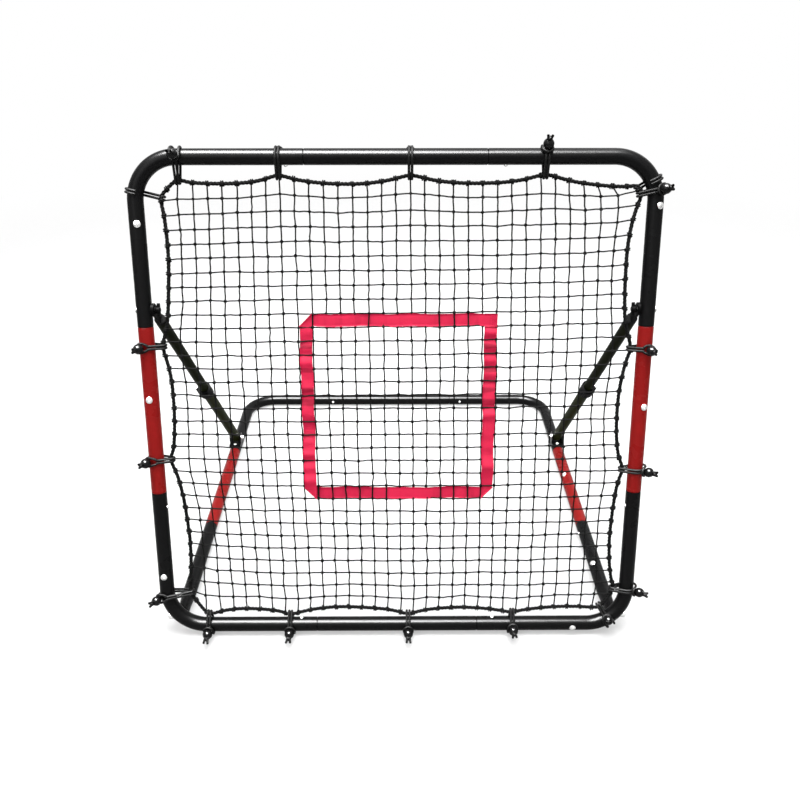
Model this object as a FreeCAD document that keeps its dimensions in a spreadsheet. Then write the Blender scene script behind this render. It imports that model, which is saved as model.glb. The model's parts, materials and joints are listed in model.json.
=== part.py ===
import FreeCAD, Part
import functools
import math
import operator
import os
from types import SimpleNamespace

import Sketcher
from FreeCAD import Placement, Rotation, Vector

# A pitch back rebounder: a front frame of bent steel tubes leans back over a flat base, held by two
# telescopic struts. A net with a target hangs in the front frame on ball bungees.
# X runs across the object, Y backwards and Z up. The origin is under the middle of the object.

os.makedirs("parts", exist_ok=True)
doc = FreeCAD.newDocument("PitchBackRebounder")

# Driving sizes in millimetres and degrees: name, size, what it is
SHEET = (
    ("frame_width", 970, "front frame, between the axes of its uprights"),
    ("frame_height", 956, "front frame, between the axes of its bars"),
    ("base_depth", 983, "from the front frame's lower bar to the rear bar"),
    ("lean_angle", 15, "how far the front frame leans back"),
    ("drill_margin", 1, "how far a cut runs past what it cuts"),
    ("tube_od", 30, "every tube of both frames"),
    ("tube_wall", 1.5, "their wall"),
    ("bend_radius", 80, "axis of an elbow's bend"),
    ("upper_leg", 315, "from the top bar to the upper seam of an upright"),
    ("rear_leg", 305, "from the rear bar to the rear seam of an arm"),
    ("middle_length", 340, "straight tube between two elbows"),
    ("spigot_length", 60, "narrow end of a straight tube, inside the elbow"),
    ("slide_fit", 0.2, "gap all round a spigot"),
    ("seam_gap", 0.6, "gap between an elbow's end and the next tube's shoulder"),
    ("swage_length", 1.5, "slope from the tube's full size to its spigot"),
    ("pin_offset", 33, "from a seam to the pin that locks it"),
    ("hinge_height", 22, "hinge bolt above the axis of the lower bar, along the frame"),
    ("plate_thickness", 4, "hinge plate"),
    ("plate_end", 20, "diameter of the hinge plate's round end"),
    ("plate_play", 0.3, "gap between the hinge plate and its slot or bush"),
    ("slot_margin", 1.5, "slot beyond the round end of the hinge plate"),
    ("slot_front", 5, "how far the slot reaches in front of the elbow's axis"),
    ("bush_od", 16, "hinge bush"),
    ("bush_proud", 4.3, "outer hinge bush beyond the elbow"),
    ("weld_fit", 0.05, "gap all round a piece that is set in a hole"),
    ("bolt_od", 8, "every pivot bolt"),
    ("bolt_fit", 0.15, "a pivot hole's diameter less its bolt's"),
    ("press_start", 100, "where an arm's round tube begins to flatten"),
    ("press_end", 60, "where it is fully flat"),
    ("arm_end", 36, "front end of an arm"),
    ("press_width", 24, "flattened end, across"),
    ("press_height", 34.8, "flattened end, upright"),
    ("press_lift", 0.1, "flattened end above the floor"),
    ("plate_back", 2, "back end of the hinge plate before the end of the flattening"),
    ("strut_od", 26, "lower strut tube"),
    ("strut_wall", 1.5, "both strut tubes"),
    ("strut_fit", 0.3, "gap all round the upper strut tube"),
    ("lower_tube_length", 393, "lower strut tube, from its pivot to its mouth"),
    ("upper_tube_length", 541, "upper strut tube"),
    ("foot_height", 46, "lower strut pivot above the floor"),
    ("eye_thickness", 5, "flat eye at the top of a strut"),
    ("eye_width", 22, "the same eye, across"),
    ("eye_shoulder", 46, "from the upper pivot to the end of the strut tube"),
    ("eye_flange", 6, "eye's round flange on the end of the tube"),
    ("eye_plug", 25, "depth of the eye's plug in the tube"),
    ("eye_slot", 8, "how much longer than the bolt the eye's slot is"),
    ("eye_play", 2.4, "how much wider than the bolt the eye's slot is"),
    ("side_play", 0.2, "gap on each side of a strut's eye"),
    ("washer_thickness", 1, "washer between the eye and the upright"),
    ("washer_od", 18, "the same washer"),
    ("collar_od", 31, "clamp collar at the mouth of the lower strut tube"),
    ("collar_fit", 0.1, "gap between the collar and the tubes that it holds"),
    ("collar_below", 28, "collar below the mouth"),
    ("collar_above", 12, "collar above the mouth"),
    ("lever_offset", 18.5, "clamp lever's pin from the strut's axis"),
    ("lever_hub", 7.6, "diameter of the clamp lever's hub"),
    ("lever_thickness", 3.2, "clamp lever"),
    ("lever_gap", 0.3, "gap between the lever and the collar"),
    ("lever_sweep", 120, "how far the lever wraps round the collar"),
    ("lever_tip", 4.8, "thick end of the lever"),
    ("ear_length", 7, "collar's ear at each end of the lever"),
    ("ear_root", 1.5, "how far an ear starts outside the collar's narrow bore"),
    ("lever_pin", 3, "clamp lever's pin"),
    ("pin_head_od", 4.8, "head at each end of the pin"),
    ("pin_head_height", 1.2, "the same head"),
    ("knob_span", 26, "wing knob on the upper strut bolt, across its wings"),
    ("knob_hub", 12, "its hub"),
    ("knob_length", 10, "its length along the bolt"),
    ("knob_wing", 5, "thickness of a wing"),
    ("knob_flange", 2, "height of its flange, and of the slope above"),
    ("knob_edge", 1.5, "how far the flange stands out, and the slope at the outer end"),
    ("knob_cap", 1.7, "outer wall of the knob, past its bore"),
    ("end_gap", 0.3, "gap past the end of a bolt or a spring"),
    ("bracket_width", 32, "strut bracket on an arm, across the arm"),
    ("bracket_length", 50, "the same bracket, along the arm"),
    ("bracket_plate", 2, "bracket over the top of the arm"),
    ("bracket_lip", 9, "bracket down the sides of the arm, from its top"),
    ("bracket_ear", 2.5, "thickness of a bracket's ear"),
    ("bracket_screw_spacing", 36, "between the two screws of a bracket"),
    ("nut_height", 5.2, "nut of a strut's foot"),
    ("nut_flats", 12.8, "the same nut, across its flats"),
    ("button_od", 7, "snap button"),
    ("button_play", 0.3, "gap all round a snap button"),
    ("button_proud", 3, "snap button out of its tube"),
    ("button_dome", 1.6, "height of its domed end"),
    ("clip_width", 6, "leaf spring of a snap button"),
    ("clip_thickness", 0.8, "the same spring"),
    ("clip_length", 27, "the same spring"),
    ("clip_gap", 0.5, "gap between the spring and the wall of the bore"),
    ("screw_head_od", 13, "dome screw of a tube"),
    ("screw_head_height", 3.5, "its head"),
    ("screw_shank", 5, "its shank"),
    ("screw_length", 8, "the same shank"),
    ("left_top_screw", 120, "dome screw below the top bar, left upright"),
    ("right_top_screw", 88, "the same, right upright"),
    ("left_middle_screw", 27, "dome screw above the middle of its tube, left upright"),
    ("right_middle_screw", 10, "the same, right upright"),
    ("left_low_screw", 184, "dome screw below the lower seam of the left upright"),
    ("bar_screw", 203, "dome screw of the lower bar, from its right seam"),
    ("arm_front_screw", 157, "dome screw in front of the right arm's front seam"),
    ("arm_middle_screw", 205, "dome screw behind the same seam"),
    ("arm_screw_turn", 35, "how far both turn inward from upright"),
    ("bracket_head_od", 9, "dome screw of a bracket"),
    ("bracket_head_height", 2.6, "its head"),
    ("rope_od", 6, "net's border rope"),
    ("knob_rope_gap", 9.6, "gap between a wing knob and the rope beside it"),
    ("net_thickness", 2.4, "net's cord"),
    ("net_gap", 0.3, "gap between the net and its border rope"),
    ("net_edge", 5, "net's outer strand"),
    ("net_strand", 3, "net's other strands"),
    ("net_columns", 17, "gaps of the net across"),
    ("net_rows", 17, "gaps of the net upwards"),
    ("target_width", 384, "webbing target"),
    ("target_height", 381, "webbing target"),
    ("target_centre", 474, "middle of the target above the lower bar, along the frame"),
    ("target_corner", 30, "slanted corner of the target"),
    ("web_width", 25, "target's webbing"),
    ("web_thickness", 1.6, "target's webbing"),
    ("bungee_od", 4.5, "cord of a ball bungee"),
    ("bungee_gap", 0.3, "gap between a bungee cord and what it goes round"),
    ("bungee_spacing", 5.6, "between the two cords of a bungee"),
    ("bungee_tail", 8, "cord beyond its ball"),
    ("bungee_flat", 0.45, "how deep a cord is cut flat where it bears on the floor"),
    ("lower_ball_turn", 75, "how far the lower bar's balls turn from straight outward to the front"),
    ("ball_od", 20, "ball of a bungee"),
)

OPERATIONS = {"+": operator.add, "-": operator.sub, "*": operator.mul, "/": operator.truediv}


class Size:
    """A number, with the formula of the sheet's cells that gives it."""

    def __init__(self, value, formula=None):
        self.value = float(value)
        self.formula = formula or repr(self.value)

    def __float__(self):
        return self.value

    def __neg__(self):
        return joined(0, "-", self)

    def __add__(self, other):
        return joined(self, "+", other)

    def __radd__(self, other):
        return joined(other, "+", self)

    def __sub__(self, other):
        return joined(self, "-", other)

    def __rsub__(self, other):
        return joined(other, "-", self)

    def __mul__(self, other):
        return joined(self, "*", other)

    def __rmul__(self, other):
        return joined(other, "*", self)

    def __truediv__(self, other):
        return joined(self, "/", other)


def as_size(number):
    """The number as a Size."""
    return number if isinstance(number, Size) else Size(number)


def joined(first, sign, second):
    """Two sizes joined by a sign, in value and in formula."""
    first, second = as_size(first), as_size(second)
    value = OPERATIONS[sign](first.value, second.value)
    return Size(value, "(%s %s %s)" % (first.formula, sign, second.formula))


def bind(thing, path, size):
    """Drive a property of a document object by a size."""
    thing.setExpression(path, as_size(size).formula)


def make_sheet():
    """The spreadsheet of driving sizes, and the sizes by name."""
    sheet = doc.addObject("Spreadsheet::Sheet", "Sizes")
    sizes = {}
    for row, (name, number, meaning) in enumerate(SHEET, start=1):
        sheet.set("A%d" % row, name)
        sheet.set("B%d" % row, str(number))
        sheet.set("C%d" % row, meaning)
        sheet.setAlias("B%d" % row, name)
        sizes[name] = Size(number, "Sizes." + name)
    doc.recompute()
    return SimpleNamespace(**sizes)


S = make_sheet()

# Sizes that follow from the sheet
tube_r = S.tube_od / 2
bore_r = tube_r - S.tube_wall
spigot_r = bore_r - S.slide_fit
spigot_bore_r = spigot_r - S.tube_wall
half_width = S.frame_width / 2
bar_seam = S.middle_length / 2
lower_leg = S.frame_height - S.middle_length - S.upper_leg
upper_seam = S.frame_height - S.upper_leg
pivot_height = upper_seam + S.pin_offset
arm_plane = half_width - tube_r - S.washer_thickness - S.side_play - S.eye_thickness / 2
rear_seam = S.base_depth - S.rear_leg
front_seam = rear_seam - S.middle_length
foot_place = rear_seam + S.pin_offset
bar_height = tube_r + S.bungee_gap + S.bungee_od - S.bungee_flat
bolt_hole = S.bolt_od + S.bolt_fit
button_hole = S.button_od + 2 * S.button_play
screw_hole = S.screw_shank + S.bolt_fit
rope_r = S.rope_od / 2
bungee_r = S.bungee_od / 2
ball_distance = tube_r + 2 * S.bungee_gap + S.bungee_od + S.ball_od / 2
tail_distance = ball_distance + S.ball_od / 2 + S.bungee_tail

lean = math.radians(float(S.lean_angle))
lower_ball_dip = math.radians(90 - float(S.lower_ball_turn)) - lean
tail_reach = float(tail_distance) * math.cos(lower_ball_dip)
front_reach = tail_reach + float(bungee_r) * abs(math.sin(lower_ball_dip))
shift = -(float(S.base_depth + tube_r) - front_reach) / 2

# Directions of an assembly: the front frame's own axes lean back with it
ACROSS = Vector(1, 0, 0)
BACK = Vector(0, 1, 0)
UP = Vector(0, 0, 1)

BASE = Placement(Vector(0, shift, 0), Rotation())
FRAME = Placement(Vector(0, shift, float(bar_height)), Rotation(ACROSS, -float(S.lean_angle)))
SIDES = (("left", -1), ("right", 1))

NODES = []


def place(across, back, up):
    """A point from three sizes or numbers."""
    return Vector(float(across), float(back), float(up))


def at(across, back, up):
    """Placement at a spot, not turned."""
    return Placement(place(across, back, up), Rotation())


# The struts run from their foot on the arm to the bolt through the upright
hinge_spot = FRAME.multVec(place(0, 0, S.hinge_height))
foot_spot = BASE.multVec(place(0, foot_place, S.foot_height))
pivot_spot = FRAME.multVec(place(0, 0, pivot_height))
strut_length = (pivot_spot - foot_spot).Length
strut_turn = Rotation(UP, pivot_spot - foot_spot)


# Bodies and their features


def origin_plane(body, role):
    """The body's own origin plane with this role."""
    return next(plane for plane in body.Origin.OriginFeatures if plane.Role == role)


def new_body(label, placement):
    """A PartDesign body that becomes one node."""
    body = doc.addObject("PartDesign::Body", label)
    body.Label = label
    body.Placement = placement
    NODES.append(body)
    return body


def new_feature(label, shape, placement):
    """A shape made with Part's functions that becomes one node."""
    feature = doc.addObject("Part::Feature", label)
    feature.Label = label
    feature.Shape = shape
    feature.Placement = placement
    NODES.append(feature)
    return feature


def new_sketch(body, role, name, offset=0):
    """A sketch on one of the body's origin planes, moved along the plane's normal."""
    sketch = body.newObject("Sketcher::SketchObject", name)
    sketch.AttachmentSupport = (origin_plane(body, role), [""])
    sketch.MapMode = "FlatFace"
    bind(sketch, "AttachmentOffset.Base.z", offset)
    return sketch


def fix(sketch, kind, *where):
    """A sketch constraint whose last argument is a size."""
    *places, size = where
    index = sketch.addConstraint(Sketcher.Constraint(kind, *places, float(size)))
    bind(sketch, "Constraints[%d]" % index, size)


def fix_point(sketch, edge, end, across, up):
    """Hold a point of an edge at two sizes from the sketch's origin."""
    fix(sketch, "DistanceX", -1, 1, edge, end, across)
    fix(sketch, "DistanceY", -1, 1, edge, end, up)


def add_outline(sketch, corners):
    """Closed outline of straight lines through the corners."""
    spots = [Vector(float(across), float(up), 0) for across, up in corners]
    first = sketch.GeometryCount
    count = len(spots)
    for step, spot in enumerate(spots):
        sketch.addGeometry(Part.LineSegment(spot, spots[(step + 1) % count]), False)
    for step in range(count):
        after = first + (step + 1) % count
        sketch.addConstraint(Sketcher.Constraint("Coincident", first + step, 2, after, 1))
    for step, (across, up) in enumerate(corners):
        fix_point(sketch, first + step, 1, across, up)


def add_circle(sketch, across, up, radius):
    """Circle about a point."""
    centre = Vector(float(across), float(up), 0)
    edge = sketch.addGeometry(Part.Circle(centre, UP, float(radius)), False)
    fix_point(sketch, edge, 3, across, up)
    fix(sketch, "Radius", edge, radius)


def add_stadium(sketch, across, up, half_length, radius):
    """Upright slot outline about a point: two half circles joined by lines."""
    middle_x, middle_z, reach, round_r = float(across), float(up), float(half_length), float(radius)
    top = Vector(middle_x, middle_z + reach, 0)
    bottom = Vector(middle_x, middle_z - reach, 0)
    side = Vector(round_r, 0, 0)
    first = sketch.addGeometry(Part.ArcOfCircle(Part.Circle(top, UP, round_r), 0, math.pi), False)
    sketch.addGeometry(Part.LineSegment(top - side, bottom - side), False)
    sketch.addGeometry(Part.ArcOfCircle(Part.Circle(bottom, UP, round_r), math.pi, 2 * math.pi), False)
    sketch.addGeometry(Part.LineSegment(bottom + side, top + side), False)
    for step in range(4):
        sketch.addConstraint(Sketcher.Constraint("Tangent", first + step, 2, first + (step + 1) % 4, 1))
    fix_point(sketch, first, 3, across, up + half_length)
    fix_point(sketch, first + 2, 3, across, up - half_length)
    fix(sketch, "Radius", first, radius)


def add_pad(body, sketch, length, middle=False):
    """Pad along the sketch's normal, or to both sides of it."""
    pad = body.newObject("PartDesign::Pad", sketch.Name + "Pad")
    pad.Profile = sketch
    pad.Midplane = middle
    bind(pad, "Length", length)


def add_pocket(body, sketch, depth, middle=False):
    """Pocket against the sketch's normal, or to both sides of it."""
    pocket = body.newObject("PartDesign::Pocket", sketch.Name + "Pocket")
    pocket.Profile = sketch
    pocket.Midplane = middle
    bind(pocket, "Length", depth)
    return pocket


def add_revolution(body, sketch, axis):
    """Full turn of the sketch about its own H_Axis or V_Axis."""
    turn = body.newObject("PartDesign::Revolution", sketch.Name + "Turn")
    turn.Profile = sketch
    turn.ReferenceAxis = (sketch, [axis])
    turn.Angle = 360


def add_cylinder(body, kind, spot, direction, diameter, length):
    """Additive or subtractive cylinder from a spot along a direction."""
    cylinder = body.newObject("PartDesign::%sCylinder" % kind, kind + "Cylinder")
    bind(cylinder, "Radius", diameter / 2)
    bind(cylinder, "Height", length)
    cylinder.Placement = Placement(spot, Rotation(UP, direction))


def add_box(body, kind, corner, sides):
    """Additive or subtractive box from its lowest corner."""
    box = body.newObject("PartDesign::%sBox" % kind, kind + "Box")
    for name, side in zip(("Length", "Width", "Height"), sides):
        bind(box, name, side)
    for name, number in zip("xyz", corner):
        bind(box, "Placement.Base." + name, number)


class Hole:
    """A round hole from a spot of the assembly, along a direction."""

    def __init__(self, spot, direction, diameter, depth):
        self.spot = spot
        self.direction = direction
        self.diameter = as_size(diameter)
        self.depth = as_size(depth)


def drill(body, inside, holes):
    """Cut holes, given in the assembly's axes, in a body that stands in the assembly at this placement."""
    back_in = inside.inverse()
    for hole in holes:
        spot = back_in.multVec(hole.spot)
        direction = back_in.Rotation.multVec(hole.direction)
        add_cylinder(body, "Subtractive", spot, direction, hole.diameter, hole.depth)


# Where the tubes are locked and screwed


def wall_hole(axis_spot, direction, diameter):
    """Hole through one wall of a tube, from its axis outward."""
    return Hole(axis_spot, direction, diameter, tube_r + S.drill_margin)


def through_hole(axis_spot, direction, diameter):
    """Hole through both walls of a tube."""
    reach = tube_r + S.drill_margin
    return Hole(axis_spot - direction * float(reach), direction, diameter, 2 * reach)


def slanted(angle, outward):
    """Direction on the front of an upright, turned outward by an angle."""
    turn = math.radians(angle)
    return Vector(outward * math.sin(turn), -math.cos(turn), 0)


# Each snap button is (name, spot on the tube's axis, direction of the button, direction to the middle tube)
button_along = bar_seam + S.pin_offset
FRAME_BUTTONS = []
BASE_BUTTONS = []
for side, sign in SIDES:
    inward = ACROSS * -sign
    FRAME_BUTTONS += [
        ("top_%s" % side, place(sign * button_along, 0, S.frame_height), -UP, inward),
        ("bottom_%s" % side, place(sign * button_along, 0, 0), UP, inward),
        ("%s_upright" % side, place(sign * half_width, 0, lower_leg - S.pin_offset), inward, UP),
    ]
    BASE_BUTTONS += [
        ("rear_%s" % side, place(sign * button_along, S.base_depth, tube_r), -BACK, inward),
        ("%s_arm" % side, place(sign * arm_plane, front_seam - S.pin_offset, tube_r), inward, BACK),
    ]

# Each dome screw is (spot on the tube's axis, direction of its head); their places aren't alike on both sides
middle_height = lower_leg + S.middle_length / 2
level_way = Vector(0, -math.cos(lean), -math.sin(lean))
FRAME_SCREWS = {
    "left_top": (place(-half_width, 0, S.frame_height - S.left_top_screw), slanted(-15, -1)),
    "right_top": (place(half_width, 0, S.frame_height - S.right_top_screw), slanted(20, 1)),
    "left_middle": (place(-half_width, 0, middle_height + S.left_middle_screw), slanted(0, -1)),
    "right_middle": (place(half_width, 0, middle_height + S.right_middle_screw), slanted(15, 1)),
    "left_bottom": (place(-half_width, 0, lower_leg - S.left_low_screw), slanted(0, -1)),
    "bottom_bar": (place(bar_seam + S.bar_screw, 0, 0), level_way),
}
arm_screw_turn = math.radians(float(S.arm_screw_turn))
arm_screw_way = Vector(-math.sin(arm_screw_turn), 0, math.cos(arm_screw_turn))
BASE_SCREWS = {
    "front": (place(arm_plane, front_seam - S.arm_front_screw, tube_r), arm_screw_way),
    "middle": (place(arm_plane, front_seam + S.arm_middle_screw, tube_r), arm_screw_way),
}


def screw_holes(screws, *names):
    """Holes for these dome screws."""
    return [wall_hole(*screws[name], screw_hole) for name in names]


def button_holes(buttons, *names):
    """Holes for these snap buttons."""
    return [wall_hole(spot, way, button_hole) for name, spot, way, _ in buttons if name in names]


def bracket_holes(sign):
    """Holes for the two screws of the bracket on an arm."""
    reach = S.bracket_screw_spacing / 2
    spots = [place(sign * arm_plane, foot_place + step * reach, tube_r) for step in (-1, 1)]
    return [wall_hole(spot, UP, screw_hole) for spot in spots]


def pivot_hole(sign):
    """Hole for the upper strut bolt through an upright."""
    return [through_hole(place(sign * half_width, 0, pivot_height), ACROSS, bolt_hole)]


# The tubes of both frames


def straight_tube(label, assembly, inside, holes):
    """Tube along its own X axis, with a narrow spigot at each end."""
    body = new_body(label, assembly.multiply(inside))
    sketch = new_sketch(body, "XZ_Plane", "Section")
    half = S.middle_length / 2
    shoulder = half - S.swage_length
    end = half + S.spigot_length
    outer = [(-end, spigot_r), (-half, spigot_r), (-shoulder, tube_r)]
    outer += [(shoulder, tube_r), (half, spigot_r), (end, spigot_r)]
    inner = [(end, spigot_bore_r), (half, spigot_bore_r), (shoulder, bore_r)]
    inner += [(-shoulder, bore_r), (-half, spigot_bore_r), (-end, spigot_bore_r)]
    add_outline(sketch, outer + inner)
    add_revolution(body, sketch, "H_Axis")
    drill(body, inside, holes)


def elbow(label, assembly, inside, half_span, leg, holes):
    """Bent tube: from its seam along X to the corner, then up along Z to its other seam."""
    body = new_body(label, assembly.multiply(inside))
    start = bar_seam + S.seam_gap
    bend = S.bend_radius
    path = new_sketch(body, "XZ_Plane", "Path")
    corner_x, corner_z, end_z = float(half_span), float(bend), float(leg - S.seam_gap)
    centre = Vector(corner_x - corner_z, corner_z, 0)
    path.addGeometry(Part.LineSegment(Vector(float(start), 0, 0), Vector(centre.x, 0, 0)), False)
    arc = Part.Circle(centre, UP, corner_z)
    path.addGeometry(Part.ArcOfCircle(arc, -math.pi / 2, 0), False)
    path.addGeometry(Part.LineSegment(Vector(corner_x, corner_z, 0), Vector(corner_x, end_z, 0)), False)
    path.addConstraint(Sketcher.Constraint("Tangent", 0, 2, 1, 1))
    path.addConstraint(Sketcher.Constraint("Tangent", 1, 2, 2, 1))
    path.addConstraint(Sketcher.Constraint("Horizontal", 0))
    path.addConstraint(Sketcher.Constraint("Vertical", 2))
    fix(path, "Radius", 1, bend)
    fix_point(path, 0, 1, start, 0)
    fix_point(path, 2, 2, half_span, leg - S.seam_gap)
    ring = new_sketch(body, "YZ_Plane", "Ring", start)
    add_circle(ring, 0, 0, tube_r)
    add_circle(ring, 0, 0, bore_r)
    doc.recompute()
    pipe = body.newObject("PartDesign::AdditivePipe", "Tube")
    pipe.Profile = ring
    pipe.Spine = (path, ["Edge1", "Edge2", "Edge3"])
    drill(body, inside, holes)
    return body


def turned(across, back, up, axis, angle):
    """Placement at a spot, turned about an axis."""
    return Placement(place(across, back, up), Rotation(axis, angle))


# Along X of a straight tube that stands upright or runs backwards
UPRIGHT = Rotation(BACK, -90)
BACKWARDS = Rotation(UP, 90)


def bend_outside(radius_change, height):
    """How far from the middle a bottom elbow reaches at a height, on a circle about its bend's centre."""
    reach = float(S.bend_radius + radius_change)
    drop = float(S.bend_radius - height)
    return float(half_width - S.bend_radius) + math.sqrt(max(reach**2 - drop**2, 0))


bush_outer_end = bend_outside(tube_r, S.hinge_height) + float(S.bush_proud)
bush_inner_end = bend_outside(S.tube_wall / 2 - tube_r, S.hinge_height + S.bush_od / 2)
slot_half = S.plate_thickness / 2 + S.plate_play


def hinge_hole(sign):
    """Hole across a bottom elbow for its hinge bushes."""
    start = place(sign * bush_inner_end, 0, S.hinge_height)
    return [Hole(start, ACROSS * sign, S.bush_od + 2 * S.weld_fit, half_width + tube_r - bush_inner_end)]


def cut_hinge_slot(body, sign):
    """Slot in the back of a bottom elbow, for the hinge plate; the left elbow is turned round."""
    back = tube_r + S.drill_margin
    corner = (arm_plane - slot_half, -S.slot_front if sign > 0 else -back, -tube_r)
    height = tube_r + S.hinge_height + S.plate_end / 2 + S.slot_margin
    add_box(body, "Subtractive", corner, (2 * slot_half, back + S.slot_front, height))


def make_front_tubes():
    """Four elbows and four straight tubes of the front frame."""
    height = S.frame_height
    top_left = turned(0, 0, height, BACK, 180)
    top_right = turned(0, 0, height, ACROSS, 180)
    bottom_left = turned(0, 0, 0, UP, 180)
    bottom_right = Placement()
    corners = (
        ("top_left", top_left, S.upper_leg, -1, ("top_left",), ("left_top",)),
        ("top_right", top_right, S.upper_leg, 1, ("top_right",), ("right_top",)),
        ("bottom_left", bottom_left, lower_leg, -1, ("bottom_left", "left_upright"), ("left_bottom",)),
        ("bottom_right", bottom_right, lower_leg, 1, ("bottom_right", "right_upright"), ("bottom_bar",)),
    )
    for name, inside, leg, sign, buttons, screws in corners:
        holes = button_holes(FRAME_BUTTONS, *buttons) + screw_holes(FRAME_SCREWS, *screws)
        low = name.startswith("bottom")
        holes += hinge_hole(sign) if low else pivot_hole(sign)
        body = elbow(name + "_elbow", FRAME, inside, half_width, leg, holes)
        if low:
            cut_hinge_slot(body, sign)
    for name, level in (("top", height), ("bottom", 0)):
        holes = button_holes(FRAME_BUTTONS, name + "_left", name + "_right")
        straight_tube(name + "_centre_tube", FRAME, at(0, 0, level), holes)
    for side, sign in SIDES:
        inside = Placement(place(sign * half_width, 0, lower_leg + S.middle_length / 2), UPRIGHT)
        holes = button_holes(FRAME_BUTTONS, side + "_upright") + pivot_hole(sign)
        holes += screw_holes(FRAME_SCREWS, side + "_middle")
        straight_tube(side + "_upright_middle_tube", FRAME, inside, holes)


def make_base_tubes():
    """Two rear elbows, the rear tube, and the middle tubes of both arms."""
    level = float(tube_r)
    rear = Placement(place(0, S.base_depth, level), Rotation(ACROSS, 90))
    rear_left = rear.multiply(turned(0, 0, 0, UP, 180))
    for side, sign, inside in (("left", -1, rear_left), ("right", 1, rear)):
        holes = button_holes(BASE_BUTTONS, "rear_" + side) + bracket_holes(sign)
        elbow("rear_%s_elbow" % side, BASE, inside, arm_plane, S.rear_leg, holes)
    holes = button_holes(BASE_BUTTONS, "rear_left", "rear_right")
    straight_tube("rear_centre_tube", BASE, at(0, S.base_depth, level), holes)
    for side, sign in SIDES:
        inside = Placement(place(sign * arm_plane, front_seam + S.middle_length / 2, level), BACKWARDS)
        holes = button_holes(BASE_BUTTONS, side + "_arm") + bracket_holes(sign)
        if side == "right":
            holes += screw_holes(BASE_SCREWS, "middle")
        straight_tube(side + "_arm_middle_tube", BASE, inside, holes)


def pressed_tube(name, wall):
    """Solid arm without its bore, or the bore alone where the wall is given: round, then pressed oval."""
    round_r = tube_r - wall
    straight = doc.addObject("Part::Cylinder", name + "Round")
    bind(straight, "Radius", round_r)
    bind(straight, "Height", front_seam - S.seam_gap - S.press_start)
    straight.Placement = Placement(place(0, S.press_start, 0), Rotation(UP, BACK))
    circle = doc.addObject("Part::Circle", name + "Circle")
    bind(circle, "Radius", round_r)
    across_tube = Rotation(UP, ACROSS, BACK, "ZXY")
    circle.Placement = Placement(place(0, S.press_start, 0), across_tube)
    rise = (S.press_height - S.tube_od) / 2 + S.press_lift
    ovals = []
    for end in (S.press_end, S.arm_end):
        oval = doc.addObject("Part::Ellipse", name + "Oval")
        bind(oval, "MajorRadius", S.press_height / 2 - wall)
        bind(oval, "MinorRadius", S.press_width / 2 - wall)
        oval.Placement = Placement(place(0, end, rise), across_tube)
        ovals.append(oval)
    pieces = [straight]
    for sections in ((circle, ovals[0]), ovals):
        loft = doc.addObject("Part::Loft", name + "Loft")
        loft.Sections = list(sections)
        loft.Solid = True
        loft.Ruled = True
        pieces.append(loft)
    whole = doc.addObject("Part::MultiFuse", name + "Whole")
    whole.Shapes = pieces
    return whole


def make_arm_fronts():
    """Front tube of each arm, pressed oval where the hinge plate is set in."""
    for side, sign in SIDES:
        label = side + "_arm_front_tube"
        name = side.title() + "Arm"
        inside = Placement(place(sign * arm_plane, 0, tube_r), Rotation())
        solid = pressed_tube(name, Size(0))
        bore = pressed_tube(name + "Bore", S.tube_wall)
        holes = button_holes(BASE_BUTTONS, side + "_arm")
        if side == "right":
            holes += screw_holes(BASE_SCREWS, "front")
        cutters = [bore]
        for hole in holes:
            cutter = doc.addObject("Part::Cylinder", name + "Hole")
            bind(cutter, "Radius", hole.diameter / 2)
            bind(cutter, "Height", hole.depth)
            spot = inside.inverse().multVec(hole.spot)
            cutter.Placement = Placement(spot, Rotation(UP, hole.direction))
            cutters.append(cutter)
        waste = doc.addObject("Part::MultiFuse", name + "Waste")
        waste.Shapes = cutters
        tube = doc.addObject("Part::Cut", label)
        tube.Base = solid
        tube.Tool = waste
        tube.Label = label
        tube.Placement = BASE.multiply(inside)
        NODES.append(tube)


# The hinges of the front frame


def tangent_spot(centre, radius, corner, turn):
    """Where the line from a corner touches a circle, on the side that the turn's sign gives."""
    away = corner - centre
    angle = math.atan2(away.y, away.x) + turn * math.acos(radius / away.Length)
    return centre + Vector(math.cos(angle), math.sin(angle), 0) * radius


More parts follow.
